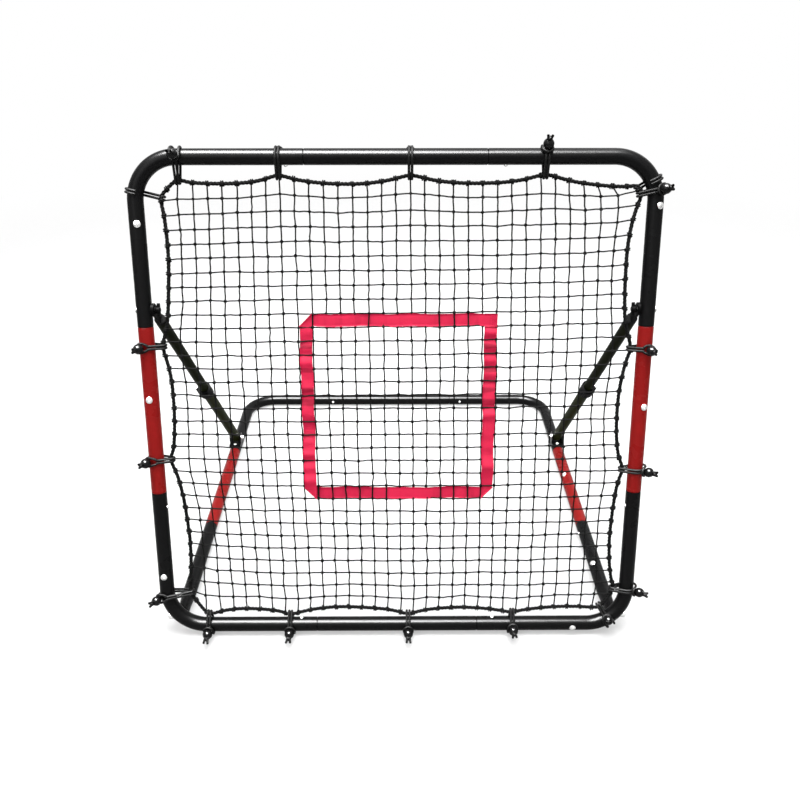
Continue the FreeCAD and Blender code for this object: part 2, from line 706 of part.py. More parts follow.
def make_hinge_plates():
    """Plate in the end of each arm, with a round end about the hinge bolt."""
    rise = S.press_height / 2 + S.press_lift
    middle = Vector(hinge_spot.y - shift, hinge_spot.z, 0)
    radius = float(S.plate_end) / 2
    inner = S.press_height / 2 - S.tube_wall - S.plate_play
    low, high = rise - inner, rise + inner
    back_end = S.press_end - S.plate_back
    front_low = Vector(float(S.arm_end), float(low), 0)
    front_high = Vector(float(S.arm_end), float(high), 0)
    back_low = Vector(float(back_end), float(low), 0)
    back_high = Vector(float(back_end), float(high), 0)
    touch_low = tangent_spot(middle, radius, front_low, -1)
    touch_high = tangent_spot(middle, radius, front_high, 1)
    for side, sign in SIDES:
        body = new_body(side + "_hinge_plate", BASE.multiply(at(sign * arm_plane, 0, 0)))
        sketch = new_sketch(body, "YZ_Plane", "Plate")
        chain = (touch_low, front_low, back_low, back_high, front_high, touch_high)
        for start, end in zip(chain, chain[1:]):
            sketch.addGeometry(Part.LineSegment(start, end), False)
        start = math.atan2(touch_high.y - middle.y, touch_high.x - middle.x)
        end = math.atan2(touch_low.y - middle.y, touch_low.x - middle.x) + 2 * math.pi
        sketch.addGeometry(Part.ArcOfCircle(Part.Circle(middle, UP, radius), start, end), False)
        for edge in range(4):
            sketch.addConstraint(Sketcher.Constraint("Coincident", edge, 2, edge + 1, 1))
        sketch.addConstraint(Sketcher.Constraint("Tangent", 4, 2, 5, 1))
        sketch.addConstraint(Sketcher.Constraint("Tangent", 5, 2, 0, 1))
        fix_point(sketch, 1, 1, S.arm_end, low)
        fix_point(sketch, 2, 1, back_end, low)
        fix_point(sketch, 3, 1, back_end, high)
        fix_point(sketch, 4, 1, S.arm_end, high)
        fix(sketch, "DistanceX", -1, 1, 5, 3, middle.x)
        fix(sketch, "DistanceY", -1, 1, 5, 3, middle.y)
        fix(sketch, "Radius", 5, S.plate_end / 2)
        add_pad(body, sketch, S.plate_thickness, middle=True)
        start = Vector(-float(S.plate_thickness), middle.x, middle.y)
        add_cylinder(body, "Subtractive", start, ACROSS, bolt_hole, 2 * S.plate_thickness)


def ring(outer, inner, start, end):
    """Ring about the X axis between two places on it."""
    length = float(end) - float(start)
    spot = place(start, 0, 0)
    whole = Part.makeCylinder(float(outer), length, spot, ACROSS)
    return whole.cut(Part.makeCylinder(float(inner), length, spot, ACROSS))


def dome_bolt(head_od, head_height, shank_od, length):
    """Bolt up the Z axis with its dome head above zero, its shank below, and a six-sided recess."""
    head_r, shank_r = float(head_od) / 2, float(shank_od) / 2
    rim, top = float(head_height) * 0.3, float(head_height)
    dome_height = top - rim
    dome_r = (head_r**2 + dome_height**2) / (2 * dome_height)
    bulge = head_r * 0.6
    bulge_top = top - dome_r + math.sqrt(dome_r**2 - bulge**2)
    spots = [place(0, 0, -length), place(shank_r, 0, -length), place(shank_r, 0, 0), place(head_r, 0, 0)]
    spots.append(place(head_r, 0, rim))
    edges = [Part.makeLine(start, end) for start, end in zip(spots, spots[1:])]
    crown = place(0, 0, top)
    edges.append(Part.Arc(spots[-1], place(bulge, 0, bulge_top), crown).toShape())
    edges.append(Part.makeLine(crown, spots[0]))
    solid = Part.Face(Part.Wire(edges)).revolve(Vector(), UP, 360)
    corners = []
    for step in range(7):
        angle = math.radians(60 * step)
        corners.append(place(shank_r * 0.7 * math.cos(angle), shank_r * 0.7 * math.sin(angle), top * 0.45))
    recess = Part.Face(Part.makePolygon(corners)).extrude(UP * top)
    return solid.cut(recess)


def hex_nut(bore_od, across_flats, height):
    """Six-sided nut standing on zero."""
    corner_r = float(across_flats) / math.sqrt(3)
    corners = []
    for step in range(7):
        angle = math.radians(60 * step)
        corners.append(place(corner_r * math.cos(angle), corner_r * math.sin(angle), 0))
    block = Part.Face(Part.makePolygon(corners)).extrude(UP * float(height))
    return block.cut(Part.makeCylinder(float(bore_od) / 2, float(height)))


def set_at(shape, spot, direction):
    """The shape moved so that its origin is at the spot and its Z axis along the direction."""
    moved = shape.copy()
    moved.Placement = Placement(spot, Rotation(UP, direction)).multiply(moved.Placement)
    return moved


def make_hinge_fittings():
    """Bushes and bolts of both hinges."""
    bushes, bolts = [], []
    near = float(arm_plane + slot_half)
    far = float(arm_plane - slot_half)
    length = bush_outer_end - bush_inner_end
    for _, sign in SIDES:
        spot = place(0, 0, S.hinge_height)
        for start, end in ((bush_inner_end, far), (near, bush_outer_end)):
            bush = ring(S.bush_od / 2, bolt_hole / 2, start, end)
            bush.Placement = Placement(spot, Rotation(UP, 0 if sign > 0 else 180))
            bushes.append(bush)
        bolt = dome_bolt(S.screw_head_od, S.screw_head_height, S.bolt_od, length)
        bolts.append(set_at(bolt, place(sign * bush_outer_end, 0, S.hinge_height), ACROSS * sign))
    new_feature("hinge_bushes", Part.makeCompound(bushes), FRAME)
    new_feature("hinge_bolts", Part.makeCompound(bolts), FRAME)


# The struts


def strut_placement(sign, distance=0):
    """On a strut's axis, this far from its foot, with Z up the strut."""
    inside = Placement(place(sign * arm_plane, 0, 0) + foot_spot, strut_turn)
    return inside.multiply(at(0, 0, distance))


upper_tube_r = S.strut_od / 2 - S.strut_wall - S.strut_fit
lever_gap_r = S.collar_od / 2 + S.lever_gap
lever_length = S.collar_below + S.collar_above - 2 * S.ear_length
eye_face = arm_plane - S.eye_thickness / 2 - S.side_play
knob_end = eye_face - S.knob_length


def make_lower_tubes():
    """Outer tube of each strut, round at its foot, with a pivot hole."""
    radius = S.strut_od / 2
    for side, sign in SIDES:
        body = new_body(side + "_strut_lower_tube", strut_placement(sign))
        sketch = new_sketch(body, "XY_Plane", "Section", -radius)
        add_circle(sketch, 0, 0, radius)
        add_circle(sketch, 0, 0, radius - S.strut_wall)
        add_pad(body, sketch, S.lower_tube_length + radius)
        foot = new_sketch(body, "YZ_Plane", "Foot")
        reach = S.strut_od
        span = float(reach)
        round_r = float(radius)
        spots = [(round_r, 0), (span, 0), (span, -span), (-span, -span), (-span, 0), (-round_r, 0)]
        spots = [Vector(across, up, 0) for across, up in spots]
        for start, end in zip(spots, spots[1:]):
            foot.addGeometry(Part.LineSegment(start, end), False)
        foot.addGeometry(Part.ArcOfCircle(Part.Circle(Vector(), UP, round_r), math.pi, 2 * math.pi), False)
        for edge in range(5):
            foot.addConstraint(Sketcher.Constraint("Coincident", edge, 2, edge + 1, 1))
        foot.addConstraint(Sketcher.Constraint("Coincident", 5, 2, 0, 1))
        fix(foot, "DistanceY", -1, 1, 0, 1, 0)
        fix_point(foot, 1, 1, reach, 0)
        fix_point(foot, 2, 1, reach, -reach)
        fix_point(foot, 3, 1, -reach, -reach)
        fix_point(foot, 4, 1, -reach, 0)
        fix(foot, "DistanceY", -1, 1, 5, 1, 0)
        fix_point(foot, 5, 3, 0, 0)
        fix(foot, "Radius", 5, radius)
        add_pocket(body, foot, 2 * S.strut_od, middle=True)
        add_cylinder(body, "Subtractive", place(-S.strut_od, 0, 0), ACROSS, bolt_hole, 2 * S.strut_od)


def make_upper_tubes():
    """Inner tube of each strut."""
    bottom = strut_length - float(S.eye_shoulder) - float(S.upper_tube_length)
    for side, sign in SIDES:
        body = new_body(side + "_strut_upper_tube", strut_placement(sign, bottom))
        sketch = new_sketch(body, "XY_Plane", "Section")
        add_circle(sketch, 0, 0, upper_tube_r)
        add_circle(sketch, 0, 0, upper_tube_r - S.strut_wall)
        add_pad(body, sketch, S.upper_tube_length)


def make_eyes():
    """Eye in the top of each strut, with a slot for the upper strut bolt."""
    shoulder = -S.eye_shoulder
    plug_r = upper_tube_r - S.strut_wall - S.weld_fit
    eye_r = S.eye_width / 2
    flange_top = shoulder + S.eye_flange
    reach = S.eye_slot / 2
    for side, sign in SIDES:
        body = new_body(side + "_strut_eye", strut_placement(sign, strut_length))
        section = new_sketch(body, "XZ_Plane", "Plug")
        corners = [(0, shoulder - S.eye_plug), (plug_r, shoulder - S.eye_plug), (plug_r, shoulder)]
        corners += [(upper_tube_r, shoulder), (upper_tube_r, flange_top), (0, flange_top)]
        add_outline(section, corners)
        add_revolution(body, section, "V_Axis")
        lug = new_sketch(body, "YZ_Plane", "Lug")
        add_stadium(lug, 0, (shoulder + reach) / 2, (reach - shoulder) / 2, eye_r)
        add_pad(body, lug, S.eye_thickness, middle=True)
        trim = new_sketch(body, "XY_Plane", "Trim", shoulder)
        add_circle(trim, 0, 0, S.eye_width)
        add_circle(trim, 0, 0, plug_r)
        add_pocket(body, trim, S.eye_plug)
        slot = new_sketch(body, "YZ_Plane", "Slot")
        add_stadium(slot, 0, 0, reach - S.eye_play / 2, (S.bolt_od + S.eye_play) / 2)
        add_pocket(body, slot, 2 * S.eye_thickness, middle=True)


def make_collars():
    """Clamp collar at the mouth of each lower tube, with two ears for its lever's pin."""
    mouth = S.collar_below
    length = mouth + S.collar_above
    collar_r = S.collar_od / 2
    tube_bore = S.strut_od / 2 + S.collar_fit
    neck_bore = upper_tube_r + S.collar_fit
    hub_r = S.lever_hub / 2
    start = S.lower_tube_length - S.collar_below
    for side, sign in SIDES:
        body = new_body(side + "_clamp_collar", strut_placement(sign, start))
        section = new_sketch(body, "XZ_Plane", "Section")
        corners = [(tube_bore, 0), (collar_r, 0), (collar_r, length), (neck_bore, length)]
        corners += [(neck_bore, mouth), (tube_bore, mouth)]
        add_outline(section, corners)
        add_revolution(body, section, "V_Axis")
        root = neck_bore + S.ear_root
        low_x = root if sign > 0 else -S.lever_offset
        for level in (Size(0), length - S.ear_length):
            sides = (S.lever_offset - root, S.lever_hub, S.ear_length)
            add_box(body, "Additive", (low_x, -hub_r, level), sides)
            spot = place(sign * S.lever_offset, 0, level)
            add_cylinder(body, "Additive", spot, UP, S.lever_hub, S.ear_length)
        relief = S.lever_hub + 2 * S.lever_gap
        spot = place(sign * S.lever_offset, 0, S.ear_length)
        add_cylinder(body, "Subtractive", spot, UP, relief, lever_length)
        bore = new_sketch(body, "XY_Plane", "Bore")
        add_circle(bore, 0, 0, tube_bore)
        bored = add_pocket(body, bore, mouth)
        bored.Reversed = True
        pin = place(sign * S.lever_offset, 0, -S.drill_margin)
        add_cylinder(body, "Subtractive", pin, UP, S.lever_pin + S.bolt_fit, length + 2 * S.drill_margin)


def make_levers():
    """Clamp lever of each collar: it wraps round the underside, and swings on its pin."""
    inner_r = float(lever_gap_r)
    outer_r = float(lever_gap_r + S.lever_thickness)
    hub_r = float(S.lever_hub) / 2
    tip_r = float(S.lever_tip) / 2
    pin_hole_r = float(S.lever_pin + S.bolt_fit) / 2
    sweep = float(S.lever_sweep)
    length = float(lever_length - 2 * S.lever_gap)
    start = S.lower_tube_length - S.collar_below + S.ear_length + S.lever_gap
    for side, sign in SIDES:
        band = Part.makeCylinder(outer_r, length, Vector(), UP, sweep)
        band = band.cut(Part.makeCylinder(inner_r, length))
        band.rotate(Vector(), UP, -sweep if sign > 0 else 180)
        tip_angle = math.radians(-sweep if sign > 0 else sweep - 180)
        tip_spot = Vector(math.cos(tip_angle), math.sin(tip_angle), 0) * (inner_r + tip_r)
        pin_spot = place(sign * S.lever_offset, 0, 0)
        tip = Part.makeCylinder(tip_r, length, tip_spot)
        hub = Part.makeCylinder(hub_r, length, pin_spot)
        solid = band.fuse([hub, tip])
        solid = solid.cut(Part.makeCylinder(inner_r, length))
        solid = solid.cut(Part.makeCylinder(pin_hole_r, length, pin_spot))
        new_feature(side + "_clamp_lever", solid.removeSplitter(), strut_placement(sign, start))


def make_lever_pins():
    """Pin of each clamp lever, with a small head at both ends."""
    length = float(S.collar_below + S.collar_above)
    start = S.lower_tube_length - S.collar_below
    pin_r = float(S.lever_pin) / 2
    head_r = float(S.pin_head_od) / 2
    head = float(S.pin_head_height)
    for side, sign in SIDES:
        shank = Part.makeCylinder(pin_r, length)
        low = Part.makeCylinder(head_r, head, place(0, 0, -head))
        high = Part.makeCylinder(head_r, head, place(0, 0, length))
        solid = shank.fuse([low, high])
        inside = strut_placement(sign, start).multiply(at(sign * S.lever_offset, 0, 0))
        new_feature(side + "_clamp_pin", solid, inside)


def make_upper_pivots():
    """Bolts through the uprights, and their washers."""
    washers, bolts = [], []
    bolt_end = knob_end + S.knob_cap + S.end_gap
    wall = half_width - tube_r
    for side, sign in SIDES:
        washer = ring(S.washer_od / 2, bolt_hole / 2, wall - S.washer_thickness, wall)
        washer.Placement = Placement(place(0, 0, pivot_height), Rotation(UP, 0 if sign > 0 else 180))
        washers.append(washer)
        outside = half_width + tube_r
        bolt = dome_bolt(S.screw_head_od, S.screw_head_height, S.bolt_od, outside - bolt_end)
        bolts.append(set_at(bolt, place(sign * outside, 0, pivot_height), ACROSS * sign))
        make_wing_knob(side, sign)
    new_feature("pivot_washers", Part.makeCompound(washers), FRAME)
    new_feature("strut_bolts", Part.makeCompound(bolts), FRAME)


def make_wing_knob(side, sign):
    """Wing knob on the inner end of an upper strut bolt."""
    inward = Rotation(Vector(), UP, -ACROSS * sign, "ZYX")
    seat = Placement(place(sign * eye_face, 0, pivot_height), inward)
    body = new_body(side + "_wing_knob", FRAME.multiply(seat))
    section = new_sketch(body, "XZ_Plane", "Section")
    hub_r = S.knob_hub / 2
    flange_r = hub_r + S.knob_edge
    slope_end = S.knob_flange + S.knob_edge
    side_end = S.knob_length - S.knob_edge
    corners = [(0, 0), (flange_r, 0), (flange_r, S.knob_flange), (hub_r, slope_end), (hub_r, side_end)]
    corners += [(hub_r - S.knob_edge, S.knob_length), (0, S.knob_length)]
    add_outline(section, corners)
    add_revolution(body, section, "V_Axis")
    wings = new_sketch(body, "XY_Plane", "Wings", slope_end)
    wing_r = S.knob_wing / 2
    add_stadium(wings, 0, 0, S.knob_span / 2 - wing_r, wing_r)
    add_pad(body, wings, side_end - slope_end + S.knob_edge / 2)
    add_cylinder(body, "Subtractive", Vector(), UP, bolt_hole, S.knob_length - S.knob_cap)


def make_brackets():
    """Saddle bracket of each strut's foot: a block over the arm with two ears."""
    half = S.bracket_width / 2
    rise = S.foot_height - tube_r
    ear_r = S.strut_od / 2
    top = tube_r + S.bracket_plate
    lip = tube_r + S.bracket_plate - S.bracket_lip
    inner_half = half - S.bracket_ear
    for side, sign in SIDES:
        placement = BASE.multiply(at(sign * arm_plane, foot_place, tube_r))
        body = new_body(side + "_strut_bracket", placement)
        block = new_sketch(body, "XZ_Plane", "Block")
        add_outline(block, [(-half, lip), (half, lip), (half, top), (-half, top)])
        add_pad(body, block, S.bracket_length, middle=True)
        ears = new_sketch(body, "YZ_Plane", "Ears")
        add_stadium(ears, 0, (lip + ear_r + rise) / 2, (rise - lip - ear_r) / 2, ear_r)
        add_pad(body, ears, S.bracket_width, middle=True)
        gap = (-inner_half, -S.bracket_length, top)
        add_box(body, "Subtractive", gap, (2 * inner_half, 2 * S.bracket_length, S.foot_height))
        saddle_start = place(0, -S.bracket_length, 0)
        saddle_od = S.tube_od + 2 * S.weld_fit
        add_cylinder(body, "Subtractive", saddle_start, BACK, saddle_od, 2 * S.bracket_length)
        bolt_start = place(-S.bracket_width, 0, rise)
        add_cylinder(body, "Subtractive", bolt_start, ACROSS, bolt_hole, 2 * S.bracket_width)
        for step in (-1, 1):
            spot = place(0, step * S.bracket_screw_spacing / 2, 0)
            add_cylinder(body, "Subtractive", spot, UP, screw_hole, 2 * S.tube_od)


def make_foot_bolts():
    """Bolt and nut of each strut's foot, with its head outside."""
    pieces = []
    half = S.bracket_width / 2
    length = S.bracket_width + S.nut_height + S.drill_margin
    for _, sign in SIDES:
        bolt = dome_bolt(S.screw_head_od, S.screw_head_height, S.bolt_od, length)
        outside = place(sign * (arm_plane + half), foot_place, S.foot_height)
        pieces.append(set_at(bolt, outside, ACROSS * sign))
        nut = hex_nut(bolt_hole, S.nut_flats, S.nut_height)
        inside = place(sign * (arm_plane - half), foot_place, S.foot_height)
        pieces.append(set_at(nut, inside, -ACROSS * sign))
    new_feature("strut_foot_bolts", Part.makeCompound(pieces), BASE)


# Screws and snap buttons


def dome_screws(screws):
    """Dome screws in the walls of tubes."""
    screw = dome_bolt(S.screw_head_od, S.screw_head_height, S.screw_shank, S.screw_length)
    return [set_at(screw, spot + way * float(tube_r), way) for spot, way in screws.values()]


def make_screws():
    """Dome screws of both frames, and the screws of the brackets."""
    new_feature("frame_screws", Part.makeCompound(dome_screws(FRAME_SCREWS)), FRAME)
    screws = dome_screws(BASE_SCREWS)
    length = float(S.bracket_plate + S.screw_length)
    small = dome_bolt(S.bracket_head_od, S.bracket_head_height, S.screw_shank, length)
    level = S.tube_od + S.bracket_plate
    for _, sign in SIDES:
        for step in (-1, 1):
            spot = place(sign * arm_plane, foot_place + step * S.bracket_screw_spacing / 2, level)
            screws.append(set_at(small, spot, UP))
    new_feature("base_screws", Part.makeCompound(screws), BASE)


def button_placement(spot, way, along):
    """On the tube's axis, with Z along the button and X towards the middle tube."""
    return Placement(spot, Rotation(along, Vector(), way, "ZXY"))


strip_half = S.clip_width / 2
strip_level = math.sqrt(float(spigot_bore_r) ** 2 - float(strip_half) ** 2) - float(S.clip_gap)
strip_front = S.button_od / 2 + S.drill_margin


def make_snap_joints():
    """Snap buttons on their spring strips, and the rest of their springs inside the tubes."""
    for label, assembly, buttons in (("frame", FRAME, FRAME_BUTTONS), ("base", BASE, BASE_BUTTONS)):
        springs = []
        for name, spot, way, along in buttons:
            inside = button_placement(spot, way, along)
            springs.append(rest_spring(inside))
            snap_button(name + "_button", assembly.multiply(inside))
        new_feature(label + "_spring_clips", Part.makeCompound(springs), assembly)


def rest_spring(inside):
    """Strip along the far wall of the tube, turned up at its end."""
    thickness, width = float(S.clip_thickness), float(S.clip_width)
    end = float(S.clip_length - strip_front)
    corner = place(-strip_front, -strip_half, -strip_level)
    strip = Part.makeBox(float(S.clip_length), width, thickness, corner)
    rise_corner = place(end - thickness, -strip_half, -strip_level)
    rise = Part.makeBox(thickness, width, 2 * strip_level, rise_corner)
    spring = strip.fuse(rise).removeSplitter()
    spring.Placement = inside
    return spring


def snap_button(label, placement):
    """Round button with a domed end, on the strip that springs it out."""
    body = new_body(label, placement)
    radius = S.button_od / 2
    top = tube_r + S.button_proud
    low = strip_level - S.clip_thickness / 2
    dome = float(S.button_dome)
    sketch = new_sketch(body, "XZ_Plane", "Section")
    side_top = top - S.button_dome
    dome_r = (float(radius) ** 2 + dome**2) / (2 * dome)
    centre = Vector(0, float(top) - dome_r, 0)
    spots = [place(0, low, 0), place(radius, low, 0), place(radius, side_top, 0)]
    crown = place(0, top, 0)
    sketch.addGeometry(Part.LineSegment(spots[0], spots[1]), False)
    sketch.addGeometry(Part.LineSegment(spots[1], spots[2]), False)
    angle = math.atan2(spots[2].y - centre.y, spots[2].x)
    sketch.addGeometry(Part.ArcOfCircle(Part.Circle(centre, UP, dome_r), angle, math.pi / 2), False)
    sketch.addGeometry(Part.LineSegment(crown, spots[0]), False)
    for edge in range(4):
        sketch.addConstraint(Sketcher.Constraint("Coincident", edge, 2, (edge + 1) % 4, 1))
    fix_point(sketch, 0, 1, 0, low)
    fix_point(sketch, 1, 1, radius, low)
    fix(sketch, "DistanceX", -1, 1, 1, 2, radius)
    fix(sketch, "DistanceY", -1, 1, 1, 2, side_top)
    fix_point(sketch, 3, 1, 0, top)
    fix(sketch, "DistanceX", -1, 1, 2, 3, 0)
    add_revolution(body, sketch, "V_Axis")
    length = S.clip_length - S.clip_thickness - S.end_gap
    corner = (-strip_front, -strip_half, strip_level - S.clip_thickness)
    add_box(body, "Additive", corner, (length, S.clip_width, S.clip_thickness))


# The net, its border rope, the target and the ball bungees

# A tie is (tube, place, gap between the tube and the rope's corner, turn of its ball). The place is a share
# of half a bar's straight length from its middle, or of the frame's height up an upright, or in degrees
# round a corner's bend from straight sideways. A tie whose turn is None has no ball.
TIES = (
    ("top", -0.996, 26, 82),
    ("top", -0.536, 18, -84),
    ("top", 0.067, 18, -84),
    ("top", 0.684, 17, 45),
    ("top_right_corner", 27, 12, None),
    ("top_right_corner", 14, 12, 66),
    ("top_left_corner", 12.5, 32, None),
    ("left", 0.63, 15, 73),
    ("left", 0.388, 14, 62),
    ("bottom_left_corner", 7, 34, 55),
    ("right", 0.624, 12, 80),
    ("right", 0.363, 11, 43),
    ("right", 0.085, 13, 42),
    ("bottom_right_corner", 56, 17, 109),
)
front_turn = float(S.lower_ball_turn)
FLOOR_TIES = (
    ("bottom", -0.985, 9, front_turn),
    ("bottom", -0.56, 8, front_turn),
    ("bottom", 0.059, 8, front_turn),
    ("bottom", 0.605, 11, 87),
)
# Slack corners of the rope between two ties: tube, place and gap
pivot_share = float(pivot_height) / float(S.frame_height)
knob_gap = float(half_width - tube_r - knob_end + rope_r + S.knob_rope_gap)
SLACKS = (
    ("top", -0.74, 34),
    ("top", -0.22, 36),
    ("top", 0.37, 35),
    ("top", 0.95, 38),
    ("right", 0.865, 28),
    ("right", 0.795, 33),
    ("right", pivot_share, knob_gap),
    ("right", 0.5, 31),
    ("right", 0.21, 30),
    ("bottom", 0.87, 25),
    ("bottom", 0.32, 25),
    ("bottom", -0.25, 27),
    ("bottom", -0.78, 24),
    ("left", 0.2, 42),
    ("left", 0.51, 30),
    ("left", pivot_share, knob_gap),
    ("left", 0.81, 40),
)


class Tie:
    """Where a cord goes round a tube: on its axis, with the way outward and the way along the tube."""

    def __init__(self, tube, share, gap):
        width, height, bend = float(half_width), float(S.frame_height), float(S.bend_radius)
        self.inset = float(tube_r) + gap
        if tube.endswith("corner"):
            angle = math.radians(share)
            side = 1 if "right" in tube else -1
            rise, middle = (1, height - bend) if "top" in tube else (-1, bend)
            self.outward = Vector(side * math.cos(angle), 0, rise * math.sin(angle))
            self.spot = Vector(side * (width - bend), 0, middle) + self.outward * bend
        else:
            self.outward = {"top": UP, "bottom": -UP, "left": -ACROSS, "right": ACROSS}[tube]
            spots = {
                "top": Vector(share * (width - bend), 0, height),
                "bottom": Vector(share * (width - bend), 0, 0),
                "left": Vector(-width, 0, share * height),
                "right": Vector(width, 0, share * height),
            }
            self.spot = spots[tube]
        self.turn = Rotation(self.outward, BACK, Vector(), "XYZ")
        self.corner = self.spot - self.outward * self.inset

    def placement(self, along=0):
        """On the tube's axis, with X outward, Y backwards and Z along the tube."""
        return Placement(self.spot, self.turn).multiply(at(0, 0, along))

    def rope_inset(self, path, along):
        """How far inside the tube's axis the rope runs, at a place along the tube."""
        foot = self.placement(along).Base
        line = Part.makeLine(foot, foot - self.outward * 2 * self.inset)
        spot = path.distToShape(line)[1][0][0]
        return (foot - spot).Length

    def rope_slope(self, path, along):
        """How steeply the rope nears the tube at a place along it."""
        return abs(self.rope_inset(path, along + 1) - self.rope_inset(path, along - 1)) / 2

    def rope_turn_radius(self, path, along):
        """Radius of a bungee's turn round the rope, which grows where the rope runs askew."""
        slope = self.rope_slope(path, along)
        skew = float(rope_r) * math.hypot(1, slope) + float(bungee_r) * slope
        return skew + float(S.bungee_gap + bungee_r)


def rope_corners():
    """The border rope's corner points, in order round the frame."""
    entries = [tie[:3] for tie in TIES + FLOOR_TIES] + list(SLACKS)
    corners = [Tie(*entry).corner for entry in entries]
    middle = Vector(0, 0, float(S.frame_height) / 2)
    return sorted(corners, key=lambda spot: math.atan2(spot.z - middle.z, spot.x - middle.x))


def rounded_loop(corners, share=0.45):
    """Closed path of straight runs joined by tangent arcs, each as large as this share of its shorter run."""
    count = len(corners)
    arcs = []
    for step, corner in enumerate(corners):
        to_last = corners[step - 1] - corner
        to_next = corners[(step + 1) % count] - corner
        reach = share * min(to_last.Length, to_next.Length)
        to_last.normalize()
        to_next.normalize()
        half_turn = (math.pi - to_last.getAngle(to_next)) / 2
        radius = reach / math.tan(half_turn)
        inward = to_last + to_next
        inward.normalize()
        middle = corner + inward * (radius / math.cos(half_turn) - radius)
        arcs.append((corner + to_last * reach, middle, corner + to_next * reach))
    edges = []
    for step, (start, middle, end) in enumerate(arcs):
        edges.append(Part.Arc(start, middle, end).toShape())
        edges.append(Part.makeLine(end, arcs[(step + 1) % count][0]))
    return edges


def swept(edges, radius):
    """Round cord along a chain of edges."""
    path = Part.Wire(edges)
    start = edges[0]
    spot = start.valueAt(start.FirstParameter)
    way = start.tangentAt(start.FirstParameter)
    circle = Part.Wire([Part.makeCircle(float(radius), spot, way)])
    return path.makePipeShell([circle], True, False)


def closed_cord(edges, radius):
    """Endless cord, swept in two halves that meet face to face."""
    half = len(edges) // 2
    return swept(edges[:half], radius).fuse(swept(edges[half:], radius))


def cord_loop(inset, small):
    """One loop of a bungee round a tube at the origin and the rope inside it, in the XY plane."""
    big = float(tube_r + S.bungee_gap + bungee_r)
    touch = math.pi - math.acos((big - small) / inset)
    halves = []
    for side in (1, -1):
        spots = []
        for radius, middle, angle in (
            (big, 0, 0),
            (big, 0, touch / 2),
            (big, 0, touch),
            (small, -inset, touch),
            (small, -inset, (touch + math.pi) / 2),
            (small, -inset, math.pi),
        ):
            spots.append(place(middle + radius * math.cos(angle), side * radius * math.sin(angle), 0))
        edges = [
            Part.Arc(*spots[:3]).toShape(),
            Part.makeLine(spots[2], spots[3]),
            Part.Arc(*spots[3:]).toShape(),
        ]
        halves.append(swept(edges, bungee_r))
    return halves[0].fuse(halves[1])


def ball_way(turn):
    """Direction from a tube's axis to a ball, turned from outward to the front."""
    angle = math.radians(turn)
    return Vector(math.cos(angle), -math.sin(angle), 0)


def bungee_cord(tie, path, along, turn):
    """One cord of a bungee: its loop, and its tail where it has a ball."""
    cord = cord_loop(tie.rope_inset(path, along), tie.rope_turn_radius(path, along))
    if turn is not None:
        start = float(tube_r + S.bungee_gap + bungee_r)
        way = ball_way(turn)
        cord = cord.fuse(Part.makeCylinder(float(bungee_r), float(tail_distance) - start, way * start, way))
    cord.Placement = tie.placement(along)
    return cord


@functools.lru_cache(maxsize=None)
def ball(turn):
    """Ball of a bungee, bored for both cords."""
    way = ball_way(turn)
    centre = way * float(ball_distance)
    radius = float(S.ball_od) / 2
    sphere = Part.makeSphere(radius, centre)
    for side in (-0.5, 0.5):
        foot = centre - way * radius + UP * side * float(S.bungee_spacing)
        sphere = sphere.cut(Part.makeCylinder(float(bungee_r + S.bungee_gap), 2 * radius, foot, way))
    return sphere


def make_bungees(path):
    """All bungee cords and their balls, along the rope's path."""
    cords, floor_cords, balls = [], [], []
    for ties, target in ((TIES, cords), (FLOOR_TIES, floor_cords)):
        for *where, turn in ties:
            tie = Tie(*where)
            for side in (-0.5, 0.5):
                target.append(bungee_cord(tie, path, side * float(S.bungee_spacing), turn))
            if turn is not None:
                whole = ball(turn).copy()
                whole.Placement = tie.placement()
                balls.append(whole)
    reach = float(S.frame_width)
    ground = Part.makeBox(2 * reach, reach, reach, place(-reach, shift - reach / 2, -reach))
    ground.Placement = FRAME.inverse().multiply(ground.Placement)
    flat = [cord.cut(ground) for cord in floor_cords]
    new_feature("bungee_cords", Part.makeCompound(cords), FRAME)
    new_feature("floor_bungee_cords", Part.makeCompound(flat), FRAME)
    new_feature("bungee_balls", Part.makeCompound(balls), FRAME)


def rectangle(x, z, width, height):
    """Upright rectangle from its lowest corner."""
    spots = [(x, z), (x + width, z), (x + width, z + height), (x, z + height), (x, z)]
    return Part.Face(Part.makePolygon([Vector(across, 0, up) for across, up in spots]))


def net_gaps(inner):
    """Square gaps of the net, clipped to its inner outline."""
    box = inner.BoundBox
    columns, rows = int(float(S.net_columns)), int(float(S.net_rows))
    strand = float(S.net_strand)
    wide = (box.XLength + strand) / columns
    high = (box.ZLength + strand) / rows
    squares = []
    for column in range(columns):
        for row in range(rows):
            corner = (box.XMin + column * wide, box.ZMin + row * high)
            squares.append(rectangle(*corner, wide - strand, high - strand))
    return inner.common(Part.makeCompound(squares))


def net_notches(path):
    """Rectangles where a bungee goes round the rope."""
    half = float(S.bungee_spacing + S.bungee_od) / 2 + float(S.bungee_gap)
    notches = []
    for *where, _ in TIES + FLOOR_TIES:
        tie = Tie(*where)
        deepest = 0
        for along in (-half, half):
            reach = tie.rope_turn_radius(path, along) + float(bungee_r + S.bungee_gap)
            deepest = max(deepest, tie.rope_inset(path, along) + reach)
        corners = ((0, -half), (0, half), (deepest, half), (deepest, -half))
        spots = [tie.placement().multVec(place(-step, 0, along)) for step, along in corners]
        notches.append(Part.Face(Part.makePolygon(spots + spots[:1])))
    return notches


